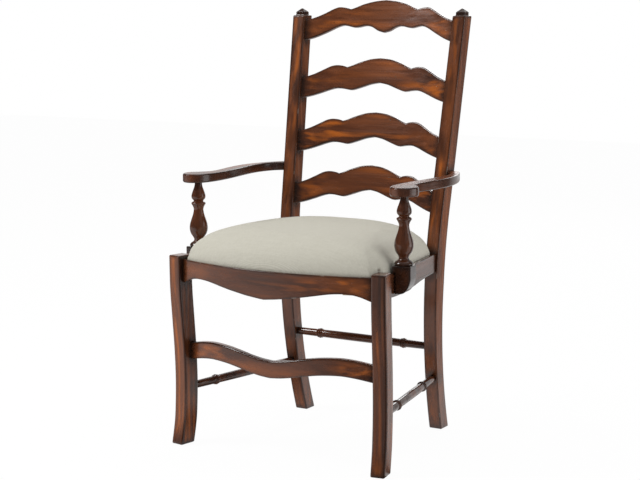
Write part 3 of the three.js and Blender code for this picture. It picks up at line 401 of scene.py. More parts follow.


# Distressed mahogany; turn brings the grain to the x axis, and aside is added to the tone of sideways faces:
# painted light where it is positive, painted shade where it is negative
def mahogany(name, turn=(0, 0, 0), shift=(0, 0, 0), tone=0.0, amber=1.0, gloss=0.0, aside=0.0):
    t = Tree("mahogany_" + name)
    look = woodLook
    along = t.mapped(t.here(), Rotation=turn, Location=shift)

    def layer(name, vector=along):
        return t.grain(vector, *woodGrain[name])

    def span(value, name, *ends):
        return t.range(value, *woodSpans[name], *ends)

    def paint(colour, name, share, strength=1.0):
        shade, full = woodPaints[name]
        return t.blend(t.times(share, full * strength), colour, shade)

    wander = t.times(t.math("SUBTRACT", layer("wander"), 0.5), look["wander"])
    bent = t.vector("ADD", along, wander)
    broad, fine, fibre = [layer(name, bent) for name in ("broad", "fine", "fibre")]
    front, edge, joint = [t.mark(name) for name in ("frontWearAndShade", "edgeWear", "jointWear")]
    value = t.total(*zip((broad, fine, fibre), look["weights"]))
    # Painted light and shade: faces that look sideways take the aside tone
    value = t.math("ADD", value, span(front, "front", tone + aside, tone))
    colour = t.ramp(value, *look["base"])
    # Amber streaks where the stain was rubbed back along the grain, and thin dark lines
    streak = t.times(span(layer("streak", bent), "streak"), span(layer("patch"), "patch"), clamp=True)
    streak = t.times(t.times(streak, span(edge, "unworn")), span(front, "front", look["amberAside"], 1.0))
    colour = paint(colour, "amber", streak, amber)
    colour = paint(colour, "line", span(layer("line", bent), "line"))
    # Stain left dark on the edges and in the joints
    rub = layer("rub")
    crisp = t.times(span(edge, "crisp"), span(rub, "rub", look["rubbedEdge"]), clamp=True)
    soft = t.times(span(edge, "soft"), look["soft"])
    joined = t.times(span(joint, "joint"), span(rub, "rub", look["rubbedJoint"]), clamp=True)
    dark = t.larger(t.times(t.larger(crisp, soft), look["edge"]), t.times(joined, look["joint"]))
    colour = paint(colour, "edge", dark)
    # Painted highlights: near-white flecks on the very edges that stand in for glints, and small dents with
    # ink-like flecks
    paintedGlint = t.times(span(edge, "paintedGlintEdge"), span(layer("paintedGlint"), "paintedGlint"), clamp=True)
    colour = paint(colour, "paintedGlint", paintedGlint)
    cells = t.add("TexVoronoi", {"Vector": t.mapped(along, Scale=look["cells"]), "Scale": look["cellScale"]})
    fleck = t.times(span(cells.outputs["Distance"], "cell"), span(layer("fleck"), "fleck"), clamp=True)
    colour = paint(colour, "fleck", fleck)
    shine = span(fine, "gloss", *[end + gloss for end in look["gloss"]])
    shine = t.math("ADD", shine, t.times(crisp, look["edgeGloss"]))
    normal = t.bump(t.total(*zip((fibre, fine, fleck), look["relief"])), *look["depth"])
    normal = t.bump(layer("swell"), *look["swellDepth"], normal)
    t.set(Base_Color=colour, Roughness=shine, Normal=normal, Specular_IOR_Level=look["specular"])
    return t.owner


quarter = math.pi / 2
upright, lengthwise, crosswise = (0, quarter, 0), (0, 0, quarter), (0, 0, 0)
# The left leg's tone is set above the right leg's, as painted light on the left leg and painted shade on the
# right leg; aside paints light on the sideways faces of the posts and the right leg, and shade on the left
# leg's sideways faces
postWood = [mahogany("post_right", upright, (0.3, 0, 0), tone=0.01, aside=0.06),
            mahogany("post_left", upright, (1.7, 0, 0), aside=0.06)]
legWood = [mahogany("leg_right", upright, (2.2, 0, 0), tone=-0.05, amber=0.6, aside=0.08),
           mahogany("leg_left", upright, (4.9, 0, 0), tone=0.12, amber=1.4, aside=-0.23)]
slatWood = mahogany("slats", crosswise, (0, 0.7, 0), tone=0.035, amber=1.1)
crossWood = mahogany("rails", crosswise, (5.3, 0, 0), tone=0.03)
sideWood = [mahogany("side_right", (0, 0, quarter - sideAngle), (0, 0, 1.1), tone=-0.04, amber=0.25),
            mahogany("side_left", (0, 0, quarter + sideAngle), (0, 0, 2.3), tone=-0.04, amber=0.25)]
armWood = [mahogany("arm_right", lengthwise, (0, 0, 3.1), tone=-0.02, amber=0.6, gloss=0.05),
           mahogany("arm_left", lengthwise, (0, 0, 4.7), tone=-0.04, amber=0.6, gloss=0.05)]
turnedWood = [mahogany("turned", upright, (0, 3.3, 0), tone=-0.12, amber=0.1, gloss=-0.1)] * 2
bracketWood = [mahogany("brackets", lengthwise, (0, 5.9, 0), tone=-0.16, amber=0.1)] * 2
rungWood = [mahogany("rungs", crosswise, (7.1, 0, 0), tone=-0.12, amber=0.1, gloss=-0.1)] * 2
print("mahogany ready")


# Back posts
posts = {
    "kick": 62.5, "kickHeight": 390, "rakeStart": 603, "rakeEntry": 21, "rakeLean": 101,
    "depthFoot": 41, "depthTop": 41, "ankle": 36, "steps": 104, "edgeRadius": 3, "lip": 4.5,
    "neckWidth": 24, "neck": 9, "point": 9, "tip": 3, "neckRadius": 0.8, "neckLip": 1.2, "darkDrop": 6,
}
slatNodes = ["crest_slat", "back_slat_2", "back_slat_3", "back_slat_4"]
frontLegs = ["front_leg_right", "front_leg_left"]
backPosts = ["back_post_right", "back_post_left"]
rakeSlope = (posts["rakeLean"] - posts["rakeEntry"]) / (plan["postShoulder"] - posts["rakeStart"])
rakeAngle = math.atan(rakeSlope)


# Front and back of a post at height z: a curved foot, an upright middle and a raked top
def postSpan(z):
    kick, kickTop, rakeStart = posts["kick"], posts["kickHeight"], posts["rakeStart"]
    entry, seat = posts["rakeEntry"], plan["postDepth"]
    if z < kickTop:
        t = 1 - z / kickTop
        front = kick * t ** 2
        back = (1 - t) ** 2 * seat + 2 * t * (1 - t) * posts["ankle"] + t * t * (kick + posts["depthFoot"])
    elif z < rakeStart:
        front = entry * ((z - kickTop) / (rakeStart - kickTop)) ** 2
        back = seat + front
    else:
        share = (z - rakeStart) / (plan["postShoulder"] - rakeStart)
        front = entry + rakeSlope * (z - rakeStart)
        back = entry + seat + share * (posts["rakeLean"] + posts["depthTop"] - entry - seat)
    return plan["postFace"] + front, plan["postFace"] + back


def postSection(z, half, span, lip):
    x = postX(z)
    return boxSection(lambda across, depth: toScene(across, depth, z), (x - half, x + half), span, lip)


def buildPost():
    shoulder = plan["postShoulder"]
    half = plan["postWidth"] / 2
    sections = [postSection(z, half, postSpan(z), posts["lip"])
                for z in spread(plan["foot"], shoulder, posts["steps"])]
    middle = sum(postSpan(shoulder)) / 2
    neck = posts["neckWidth"] / 2
    for rise, reach in ((0, neck), (posts["neck"], neck), (posts["neck"] + posts["point"], posts["tip"] / 2)):
        span = (middle - reach, middle + reach)
        sections.append(postSection(shoulder + rise, reach, span, posts["neckLip"]))
    bm = skin(sections)
    edges = sharpEdges(bm, 20)
    tree = edgeTree(edges)
    low = [e for e in edges if max(v.co.z for v in e.verts) < (shoulder + 0.5) * mm]
    high = [e for e in edges if min(v.co.z for v in e.verts) > (shoulder + 0.5) * mm]
    roundEdges(bm, high, posts["neckRadius"], 2)
    roundLeg(bm, [e for e in low if e.is_valid], posts["edgeRadius"])
    joined = ["side_seat_rail_right", "back_seat_rail", "arm_right", "side_stretcher_right", "rear_stretcher"]
    markWear(bm, tree, slatNodes + joined, shoulder - posts["darkDrop"])
    return bm


addPair(buildPost(), "post", postWood, "back_post")
print("posts built")

# Front legs, square to the side rails
legs = {
    "sweep": 17.5, "steps": 60, "edgeRadius": 4, "lip": 5.5,
    "sweepShares": [(0, 0.12), (0.085, 0.58), (0.17, 0.86), (0.33, 1), (0.5, 0.83), (0.67, 0.45),
                    (0.83, 0.1), (1, 0)],
}
legCurve = curvePoints(legs["sweepShares"])


def legBack(z):
    return legs["sweep"] * valueAt(legCurve, z / plan["legTop"])


def buildLeg():
    u, v = plan["legWidth"] / 2, plan["legDepth"] / 2
    sections = []
    for z in spread(plan["foot"], plan["legTop"], legs["steps"]):
        back = legBack(z)
        sections.append(boxSection(lambda across, depth: fromLeg(across, depth, z), (-u, u),
                                   (back - v, back + v), legs["lip"]))
    bm = skin(sections)
    edges = sharpEdges(bm)
    tree = edgeTree(edges)
    roundLeg(bm, edges, legs["edgeRadius"])
    markWear(bm, tree, ["front_seat_rail", "side_seat_rail_right", "front_stretcher", "side_stretcher_right"])
    return bm


addPair(buildLeg(), "leg", legWood, "front_leg")
print("legs built")

# Slats, scalloped and bowed, tilted with the posts
slats = {
    "tops": (1100, 950.048, 810.32, 674), "endDrop": 58.3, "height": 64.5, "thickness": 13, "bow": 36,
    "setback": 9, "tenonDrop": 85, "edgeRadius": 2.6, "lip": 3.6, "steps": 76, "reach": 1.022,
    "innerSteps": 24, "outerSteps": 36,
    "upper": ([(0, 0), (0.14, -0.052), (0.28, -0.205), (0.39, -0.37), (0.452, -0.447)],
              [(0.452, -0.447), (0.5, -0.395), (0.585, -0.378), (0.66, -0.44), (0.74, -0.592),
               (0.87, -0.845), (1, -1.03), (1.06, -1.09)]),
    "lower": ([(0, -1), (0.12, -1.07), (0.25, -1.215), (0.36, -1.328), (0.42, -1.318)],
              [(0.42, -1.318), (0.5, -1.287), (0.575, -1.293), (0.66, -1.374), (0.76, -1.508),
               (0.88, -1.657), (1, -1.77), (1.06, -1.8)]),
    "crestUpper": ([(0, 0), (0.14, -0.055), (0.28, -0.178), (0.4, -0.357), (0.457, -0.432)],
                   [(0.457, -0.432), (0.52, -0.377), (0.607, -0.36), (0.68, -0.46), (0.78, -0.672),
                    (0.89, -0.871), (1, -1.017), (1.06, -1.084)]),
    "crestLower": ([(0, -1.32), (0.08, -1.25), (0.16, -1.105), (0.24, -1.055), (0.33, -1.115)],
                   [(0.33, -1.115), (0.4, -1.136), (0.48, -1.083), (0.54, -1.069), (0.62, -1.158),
                    (0.74, -1.375), (0.88, -1.607), (1, -1.75), (1.06, -1.8)]),
}


def buildSlat(top, upper, lower):
    half = postX(top - slats["tenonDrop"]) - plan["postWidth"] / 2
    above, below = [curvePoints(inner, slats["innerSteps"]) + curvePoints(outer, slats["outerSteps"])[1:]
                    for inner, outer in (upper, lower)]
    placeZ = top + slats["bow"] * math.sin(rakeAngle)
    placeY = (postSpan(placeZ - slats["tenonDrop"] * math.cos(rakeAngle))[0] + slats["setback"]
              + slats["tenonDrop"] * math.sin(rakeAngle))

    def tilted(x, y, z):
        return toScene(x, placeY + y * math.cos(rakeAngle) + z * math.sin(rakeAngle),
                       placeZ - y * math.sin(rakeAngle) + z * math.cos(rakeAngle))

    shares = spread(0, slats["reach"], slats["steps"] // 2) + [upper[0][-1][0], lower[0][-1][0]]
    shares = sorted({round(share, 5) for share in shares})
    stations = [-share for share in reversed(shares[1:])] + shares
    sections = []
    for share in stations:
        x = share * half
        y = slats["bow"] * (1 - share ** 2)
        high = valueAt(above, abs(share)) * slats["endDrop"]
        low = valueAt(below, abs(share)) * slats["height"]
        sections.append(boxSection(lambda height, depth: tilted(x, depth, height), (low, high),
                                   (y, y + slats["thickness"]), slats["lip"], slim=True))
    bm = skin(sections)
    edges = sharpEdges(bm, 40)
    tree = edgeTree([e for e in edges if max(abs(v.co.x) for v in e.verts) < (half + 1) * mm])
    roundEdges(bm, edges, slats["edgeRadius"])
    markWear(bm, tree, backPosts)
    return bm


for number, (top, node) in enumerate(zip(slats["tops"], slatNodes)):
    upper, lower = ("upper", "lower") if number else ("crestUpper", "crestLower")
    addPiece(buildSlat(top, slats[upper], slats[lower]), f"ladder_slat_{number + 1}", slatWood, [node])
print("slats built")

# Seat rails with the ledge that the seat drops into
rails = {
    "frontSetback": 10, "bow": 50, "apron": 68.2, "sideHeight": 58, "sideOut": 8, "backHeight": 58,
    "frontRim": 8, "sideRim": 11, "backRim": 14, "into": 3, "edgeRadius": 1.8, "lip": 3,
    "steps": 92, "sideSteps": 56, "backSteps": 44, "sideCurveSteps": 40,
    "apronShares": [(0, 1), (0.17, 0.93), (0.28, 0.865), (0.375, 0.81), (0.48, 0.74), (0.62, 0.645),
                    (0.73, 0.61), (0.82, 0.62), (0.906, 0.695), (0.99, 0.826), (1.08, 0.93)],
    "sideShares": [(0, 0.9), (0.16, 0.98), (0.32, 1), (0.5, 0.96), (0.7, 0.86), (0.86, 0.82), (1, 0.81)],
}


# Section of a rail from its outer top corner inwards; spot places a point by its depth and height
def railSection(spot, rim, bottom):
    top, floor, thick = plan["railTop"], plan["recessFloor"], plan["railThickness"]
    lip = rails["lip"]
    return [spot(0, top), spot(lip, top), spot(rim - lip, top), spot(rim, top), spot(rim, floor),
            spot(thick, floor), spot(thick, floor - lip), spot(thick, (floor + bottom) / 2),
            spot(thick, bottom + lip), spot(thick, bottom), spot(thick - lip, bottom),
            spot(thick / 2, bottom), spot(lip, bottom), spot(0, bottom), spot(0, bottom + lip),
            spot(0, (top + bottom) / 2), spot(0, top - lip)]


# A rail over a run; spot places a point by its place along the rail, its depth and its height
def buildRail(reach, steps, rim, spot, drop, neighbours):
    sections = [railSection(lambda depth, z: spot(along, depth, z), rails[rim], plan["railTop"] - drop(along))
                for along in spread(*reach, rails[steps])]
    return finishBody(skin(sections), rails["edgeRadius"], neighbours)


apronCurve = curvePoints(rails["apronShares"])
sideCurve = curvePoints(rails["sideShares"], rails["sideCurveSteps"])
apronEnd = frontHalf + rails["into"]
apronY = plan["frontFace"] + rails["frontSetback"]
sideStart = plan["legDepth"] / 2 - rails["into"]
sideRun = railRun.length - plan["postDepth"] / 2 / math.cos(sideAngle) + rails["into"] - sideStart
backEnd = postX(plan["railTop"]) - plan["postWidth"] / 2 + rails["into"]
backY = plan["postFace"] + plan["backSetback"] + plan["railThickness"]
addPiece(buildRail((-apronEnd, apronEnd), "steps", "frontRim",
                   lambda x, depth, z: toScene(x, apronY - bowAt(x, rails["bow"]) + depth, z),
                   lambda x: rails["apron"] * valueAt(apronCurve, abs(x) / frontHalf), frontLegs),
         "apron_rail", crossWood, ["front_seat_rail"])
addPair(buildRail((0, 1), "sideSteps", "sideRim",
                  lambda share, depth, z: fromLeg(rails["sideOut"] - depth, sideStart + share * sideRun, z),
                  lambda share: rails["sideHeight"] * valueAt(sideCurve, share),
                  ["front_leg_right", "back_post_right", "arm_bracket_right"]),
        "side_rail", sideWood, "side_seat_rail")
addPiece(buildRail((-backEnd, backEnd), "backSteps", "backRim",
                   lambda x, depth, z: toScene(x, backY - depth, z),
                   lambda x: rails["backHeight"], backPosts),
         "rear_rail", crossWood, ["back_seat_rail"])
print("rails built")

# Shaped front stretcher
stretcher = {
    "height": 41.5, "thickness": 19, "middle": 227.5, "wave": 21, "setback": 21, "bow": 50, "into": 3,
    "edgeRadius": 3.4, "lip": 4.6, "steps": 92,
    "waveShares": [(0, 0), (0.11, 0.12), (0.22, 0.33), (0.335, 0.61), (0.465, 0.87), (0.6, 1),
                   (0.71, 0.99), (0.83, 0.8), (0.93, 0.55), (1.04, 0.25)],
}


def buildStretcher():
    curve = curvePoints(stretcher["waveShares"])
    endY = plan["frontFace"] + legBack(stretcher["middle"]) + stretcher["setback"]
    half = stretcher["height"] / 2
    reach = frontHalf + stretcher["into"]
    sections = []
    for x in spread(-reach, reach, stretcher["steps"]):
        y = endY - bowAt(x, stretcher["bow"])
        middle = stretcher["middle"] + stretcher["wave"] * valueAt(curve, abs(x) / frontHalf)
        sections.append(boxSection(lambda height, depth: toScene(x, depth, height),
                                   (middle - half, middle + half), (y, y + stretcher["thickness"]),
                                   stretcher["lip"], slim=True))
    return finishBody(skin(sections), stretcher["edgeRadius"], frontLegs)


addPiece(buildStretcher(), "wavy_stretcher", crossWood, ["front_stretcher"])


# Turned pieces: a profile of radius and length spun about an axis
def turn(profile, start, end, steps=40):
    bm = bmesh.new()
    line = [bm.verts.new((radius * mm, 0, height * mm)) for radius, height in profile]
    edges = [bm.edges.new(pair) for pair in zip(line, line[1:])]
    bmesh.ops.spin(bm, geom=line + edges, cent=(0, 0, 0), axis=(0, 0, 1), angle=2 * math.pi, steps=steps,
                   use_merge=True)
    closeBody(bm)
    way = (end - start).normalized()
    bmesh.ops.transform(bm, matrix=way.to_track_quat("Z", "X").to_matrix().to_4x4(), verts=bm.verts)
    bmesh.ops.translate(bm, vec=start, verts=bm.verts)
    return bm


rungs = {
    "shaft": 9.3, "swell": 1.4, "ring": 13.2, "ringWidth": 7, "bead": 11.9, "beadWidth": 4,
    "hidden": 4, "sideHeight": 141.5, "sideRings": (80, 92), "rearHeight": 224, "rearRings": (68, 68),
    "steps": 32, "fullness": 0.7, "ringRise": 0.4, "ringShare": 0.9,
}


# Half-round swelling on a shaft
def beadPoints(base, crown, centre, width, steps=8):
    return [(base + (crown - base) * math.sin(math.pi * i / steps) ** rungs["fullness"],
             centre + width * (i / steps - 0.5)) for i in range(steps + 1)]


def stretcherProfile(length, firstRing, lastRing):
    def shaft(h):
        return rungs["shaft"] + rungs["swell"] * math.sin(math.pi * limited(h / length))

    points = [(shaft(0), 0)]
    for ring in (firstRing, lastRing):
        before = points[-1][1]
        step = rungs["ringWidth"] / 2 + rungs["beadWidth"] / 2
        points += [(shaft(h), h) for h in spread(before, ring - step - rungs["beadWidth"], 10)[1:]]
        points += beadPoints(shaft(ring), rungs["bead"], ring - step, rungs["beadWidth"])
        points += beadPoints(shaft(ring) + rungs["ringRise"], rungs["ring"], ring,
                             rungs["ringWidth"] * rungs["ringShare"], 12)
        points += beadPoints(shaft(ring), rungs["bead"], ring + step, rungs["beadWidth"])
        points.append((shaft(ring), ring + step + rungs["beadWidth"]))
    points += [(shaft(h), h) for h in spread(points[-1][1], length, 6)[1:]]
    return points


def buildTurnedStretcher(start, end, rings, neighbours):
    length = (end - start).length / mm
    bm = turn(stretcherProfile(length, rungs["hidden"] + rings[0], length - rungs["hidden"] - rings[1]),
              start, end, rungs["steps"])
    markWear(bm, None, neighbours)
    return bm


sideZ = rungs["sideHeight"]
sideFrom = fromLeg(0, legBack(sideZ), sideZ)
sideTo = toScene(postX(sideZ), postSpan(sideZ)[0] + posts["depthFoot"] / 2, sideZ)
sideWay = (sideTo - sideFrom).normalized()
rungStart = sideFrom + sideWay * (plan["legDepth"] / 2 - rungs["hidden"]) * mm
rungEnd = sideTo - sideWay * (posts["depthFoot"] / 2 - rungs["hidden"]) * mm
addPair(buildTurnedStretcher(rungStart, rungEnd, rungs["sideRings"],
                             ["front_leg_right", "back_post_right"]),
        "side_rung", rungWood, "side_stretcher")
rearZ = rungs["rearHeight"]
rearReach = postX(rearZ) - plan["postWidth"] / 2 + rungs["hidden"]
rearY = postSpan(rearZ)[0] + posts["depthFoot"] / 2
addPiece(buildTurnedStretcher(toScene(-rearReach, rearY, rearZ), toScene(rearReach, rearY, rearZ),
                              rungs["rearRings"], backPosts),
         "rear_rung", rungWood[0], ["rear_stretcher"])
print("stretchers built")

# Arms
arms = {
    "top": 671, "thickness": 22, "spread": 86, "front": -181, "back": 222, "into": 3, "edgeRadius": 4,
    "steps": 150, "rise": 3, "riseFrom": -120, "riseTo": 190, "slice": 8,
    "shares": [(0, 1), (0.2, 0.985), (0.36, 0.935), (0.54, 0.85), (0.7, 0.74), (0.77, 0.62), (0.74, 0.5),
               (0.66, 0.38), (0.6, 0.28), (0.64, 0.22), (0.8, 0.175), (0.96, 0.13), (0.99, 0.08),
               (0.88, 0.03), (0.66, 0), (0.44, 0.01), (0.28, 0.045), (0.19, 0.1), (0.16, 0.18),
               (0.18, 0.3), (0.24, 0.42), (0.32, 0.55), (0.37, 0.67), (0.34, 0.78), (0.2, 0.875),
               (0, 0.92)],
}


def buildArm():
    under = arms["top"] - arms["thickness"]
    outer = postX(arms["top"] - arms["thickness"] / 2) + plan["postWidth"] / 2
    outline = [(outer + out * arms["spread"], arms["front"] + back * (arms["back"] - arms["front"]))
               for out, back in curvePoints(arms["shares"], arms["steps"])]
    inside = outer - arms["into"]
    outline = [(inside, outline[0][1])] + outline + [(inside, outline[-1][1])]
    bm = plate([toScene(x, y, under) for x, y in outline], Vector((0, 0, arms["thickness"] * mm)))
    rims = [e for e in sharpEdges(bm, 50)
            if abs(e.verts[0].co.z - e.verts[1].co.z) < 1e-5
            and max(v.co.x for v in e.verts) > (inside + 1) * mm]
    tree = edgeTree(rims)
    roundEdges(bm, rims, arms["edgeRadius"], 4)
    sliceUp(bm, Vector((0, 1, 0)), arms["slice"])
    sliceUp(bm, Vector((1, 0, 0)), arms["slice"])
    for vert in bm.verts:
        share = limited((vert.co.y / mm - shiftY - arms["riseFrom"]) / (arms["riseTo"] - arms["riseFrom"]))
        vert.co.z += arms["rise"] * share * share * (3 - 2 * share) * mm
    markWear(bm, tree, ["back_post_right", "arm_support_right"])
    return bm


addPair(buildArm(), "armrest", armWood, "arm")

# Turned arm supports
supports = {
    "x": 290, "y": -139, "bulge": 22.7, "base": 486.3, "steps": 48, "curveSteps": 126, "sunk": 1, "pin": 2,
    "shares": [(0, 0.93), (0.025, 0.99), (0.055, 0.85), (0.085, 0.56), (0.115, 0.52), (0.145, 0.62),
               (0.19, 0.83), (0.235, 0.95), (0.285, 1), (0.345, 0.96), (0.41, 0.83), (0.48, 0.66),
               (0.54, 0.56), (0.585, 0.54), (0.625, 0.64), (0.663, 0.79), (0.683, 0.73), (0.702, 0.53),
               (0.72, 0.6), (0.745, 0.74), (0.78, 0.78), (0.825, 0.71), (0.88, 0.57), (0.935, 0.44),
               (1, 0.39)],
}


def buildSupport():
    rise = arms["top"] - arms["thickness"] - supports["base"]
    profile = [(radius * supports["bulge"], share * rise - (0 if share > 0 else supports["sunk"]))
               for share, radius in curvePoints(supports["shares"], supports["curveSteps"])]
    profile.append((profile[-1][0], rise + supports["pin"]))
    start = toScene(supports["x"], supports["y"], supports["base"])
    bm = turn(profile, start, start + Vector((0, 0, 1)), supports["steps"])
    markWear(bm, None, ["arm_right", "arm_bracket_right"])
    return bm


addPair(buildSupport(), "baluster", turnedWood, "arm_support")

# Brackets that carry the supports, screwed to the side rails
brackets = {
    "top": 486, "width": 39, "length": 44, "height": 66, "lip": 7, "shoulder": 30, "edgeRadius": 2.4,
    "toe": 0.3, "foot": 0.72, "cheek": 0.95, "drop": 0.4, "gap": 0.3, "sweepSteps": 20, "slice": 6,
}


def buildBracket():
    inner = rails["sideOut"] + brackets["gap"]
    width, top = brackets["width"], brackets["top"]
    outer = inner + width
    bottom = top - brackets["height"]
    shoulder = top - brackets["shoulder"]
    seat = plan["railTop"] + brackets["gap"]
    a, b, c, d = [Vector(p) for p in (
        (inner + width * brackets["toe"], bottom), (inner + width * brackets["foot"], bottom),
        (inner + width * brackets["cheek"], shoulder - width * brackets["drop"]), (outer, shoulder))]
    sweep = [(1 - t) ** 3 * a + 3 * t * (1 - t) ** 2 * b + 3 * t * t * (1 - t) * c + t ** 3 * d
             for t in spread(0, 1, brackets["sweepSteps"])]
    outline = [(inner - brackets["lip"], seat), (inner, seat), (inner, bottom)]
    outline += [tuple(p) for p in sweep] + [(outer, top), (inner - brackets["lip"], top)]
    start = toLeg(supports["x"], supports["y"]).y - brackets["length"] / 2
    bm = plate([fromLeg(u, start, z) for u, z in outline], vWay.to_3d() * brackets["length"] * mm)
    return finishBody(bm, brackets["edgeRadius"], ["arm_support_right"], (Vector((0, 0, 1)), uWay.to_3d()),
                      brackets["slice"])


addPair(buildBracket(), "bracket", bracketWood, "arm_bracket")
print("arms built")


# Upholstered seat
linenLook = {
    "shades": ((0.3, (178, 174, 160)), (0.5, (191, 188, 175)), (0.7, (204, 201, 189))),
    "weights": (0.56, 0.3, 0.14), "shadedGather": (70, 46, 34), "gatherShadeSpan": (0.1, 0.7, 0, 0.85),
    "relief": (0.0005, 0.6),
    "threadScale": 620, "threadLength": 26, "ribScale": 290, "mottleScale": 240,
}


def linen(name):
    t = Tree(name)
    look = linenLook
    here = t.here()
    thread, length = look["threadScale"], look["threadLength"]
    warp, weft = [t.grain(here, scale, 3, 0.6) for scale in ((thread, length, 160), (length, thread, 160))]
    slub = t.total((warp, 0.5), (weft, 0.5))
    ribs = [t.add("TexWave", {"Vector": here, "Scale": look["ribScale"], "Distortion": 1.6, "Detail": 1.0,
                              "Detail Scale": 1.5}, bands_direction=way).outputs["Fac"] for way in ("X", "Y")]
    weave = t.total((ribs[0], 0.5), (ribs[1], 0.5))
    mottle = t.noise(here, look["mottleScale"], 3, 0.6)
    value = t.total(*zip((slub, weave, mottle), look["weights"]))
    colour = t.ramp(value, *look["shades"])
    # Painted shade: the gather mark darkens the linen to a shaded, wood-dark spot in the crease behind the
    # front leg
    colour = t.blend(t.range(t.mark("shadedGather"), *look["gatherShadeSpan"]), colour, look["shadedGather"])
    normal = t.bump(t.math("ADD", weave, slub), *look["relief"])
    t.set(Base_Color=colour, Roughness=0.92, Normal=normal)
    t.set(Specular_IOR_Level=0.15, Sheen_Weight=0.12, Sheen_Roughness=0.5)
    return t.owner


# The outline comes from the cover's section; crown is the dome's height over base, each reach is the length
# over which an edge rolls over, and folds are given by direction, length, width and depth; the gather is
# where the folds start and where a painted shade spot darkens the linen
cushion = {
    "base": 470, "crown": 80.5, "centreY": -30, "inset": 1, "notch": 3, "blend": 4, "bottom": 458.6,
    "frontReach": 280, "backReach": 165, "sideReach": 254, "legReach": 179, "postReach": 208,
    "section": 464, "step": 6, "rings": 44, "crowding": 1.5, "voxel": 5, "smoothing": 10,
    "evenFrom": 0.4, "evenTo": 0.62, "pressure": 1.6, "frames": 20, "cap": 4.0, "pinTop": 474, "fill": 0.85,
    "shadedGather": (-17, 28.5), "gatherShadeHeight": 481, "gatherShadeRadius": 7,
    "folds": [(100, 24, 6, 1.2), (150, 46, 11, 0.4)], "afterSmoothing": 8,
}


def openMesh(data):
    bm = bmesh.new()
    bm.from_mesh(data)
    return bm


def closeMesh(bm, data):
    bm.to_mesh(data)
    bm.free()


# Smooth the free top of the pad and give back its points
def smoothTop(bm, times):
    free = [v for v in bm.verts if v.co.z > cushion["pinTop"] * mm]
    for _ in range(times):
        bmesh.ops.smooth_vert(bm, verts=free, factor=0.5, use_axis_x=True, use_axis_y=True, use_axis_z=True)
    return free


def byPlace(vert):
    return tuple(vert.co)


# Outline of the covered seat, cut from the cover, as evenly spaced points; the walk round it starts at its
# lowest x and so is the same each run
def coverOutline():
    bm = openMesh(nodes["seat_cover"].data)
    bmesh.ops.remove_doubles(bm, verts=bm.verts, dist=1e-5)
    bmesh.ops.bisect_plane(bm, geom=bm.verts[:] + bm.edges[:] + bm.faces[:], dist=1e-7, clear_inner=True,
                           clear_outer=True, plane_co=(0, 0, cushion["section"] * mm), plane_no=(0, 0, 1))
    loops = []
    left = set(bm.verts)
    while left:
        vert = min(left, key=byPlace)
        left.discard(vert)
        loop = [vert]
        while True:
            following = [e.other_vert(vert) for e in vert.link_edges if e.other_vert(vert) in left]
            if not following:
                break
            vert = min(following, key=byPlace)
            left.discard(vert)
            loop.append(vert)
        loops.append([v.co.to_2d() / mm for v in loop])
    bm.free()
    outer = max(loops, key=lambda loop: max(p.x for p in loop))
    points = []
    for a, b in zip(outer, outer[1:] + outer[:1]):
        count = max(1, round((b - a).length / cushion["step"]))
        points += [a.lerp(b, i / count) for i in range(count)]
    for _ in range(2):
        points = [(a + b * 2 + c) / 4 for a, b, c in zip(points[-1:] + points[:-1], points,
                                                         points[1:] + points[:1])]
    return points


def roll(distance, reach):
    share = limited(distance / reach)
    return max(math.sqrt(share * (2 - share)), 1e-4)


# Height share of the pad over a place of the seat: every edge rolls over like a quarter of an ellipse
def domeShare(x, y):
    inset, notch = cushion["inset"], cushion["notch"]
    before = y - (apronY - bowAt(x, rails["bow"]) + rails["frontRim"] + inset)
    rises = [roll(before, cushion["frontReach"]),
             roll(backY - rails["backRim"] - inset - y, cushion["backReach"])]
    for side in (1, -1):
        u, v = toLeg(side * x, y)
        rises.append(roll(rails["sideOut"] - rails["sideRim"] - inset - u, cushion["sideReach"]))
        aside = max(abs(u) - plan["legWidth"] / 2 - notch, 0)
        behind = max(abs(v) - plan["legDepth"] / 2 - notch, 0)
        rises.append(roll(math.hypot(aside, behind), cushion["legReach"]))
        within = max(postX(plan["recessFloor"]) - plan["postWidth"] / 2 - notch - side * x, 0)
        before = max(plan["postFace"] - notch - y, 0)
        rises.append(roll(math.hypot(within, before), cushion["postReach"]))
    return sum(rise ** -cushion["blend"] for rise in rises) ** (-1 / cushion["blend"])


# Gathered folds that run out from the corner behind each front leg
def foldDepth(x, y):
    out = toLeg(abs(x), y) - Vector(cushion["shadedGather"])
    depth = 0
    for angle, length, width, most in cushion["folds"]:
        way = Vector((math.cos(math.radians(angle)), math.sin(math.radians(angle))))
        along, across = out.dot(way), out.cross(way)
        if -width < along < length:
            depth += most * (1 - max(along, 0) / length) ** 2 * math.exp(-(across / width) ** 2)
    return depth, out.length


# Skin of the pad: a wall on the outline and rings that climb the dome
def padSections(full):
    outline = coverOutline()
    centre = Vector((0, cushion["centreY"] + shiftY))
    sections = [[Vector((p.x, p.y, cushion["bottom"])) * mm for p in outline]]
    for i in range(cushion["rings"]):
        share = 1 - (i / cushion["rings"]) ** cushion["crowding"]
        section = []
        for p in outline:
            spot = centre + (p - centre) * share
            rise = min(domeShare(spot.x, spot.y - shiftY) / full, 1) if i else 0
            section.append(Vector((spot.x, spot.y, cushion["base"] + cushion["crown"] * rise)) * mm)
        sections.append(section)
    return sections


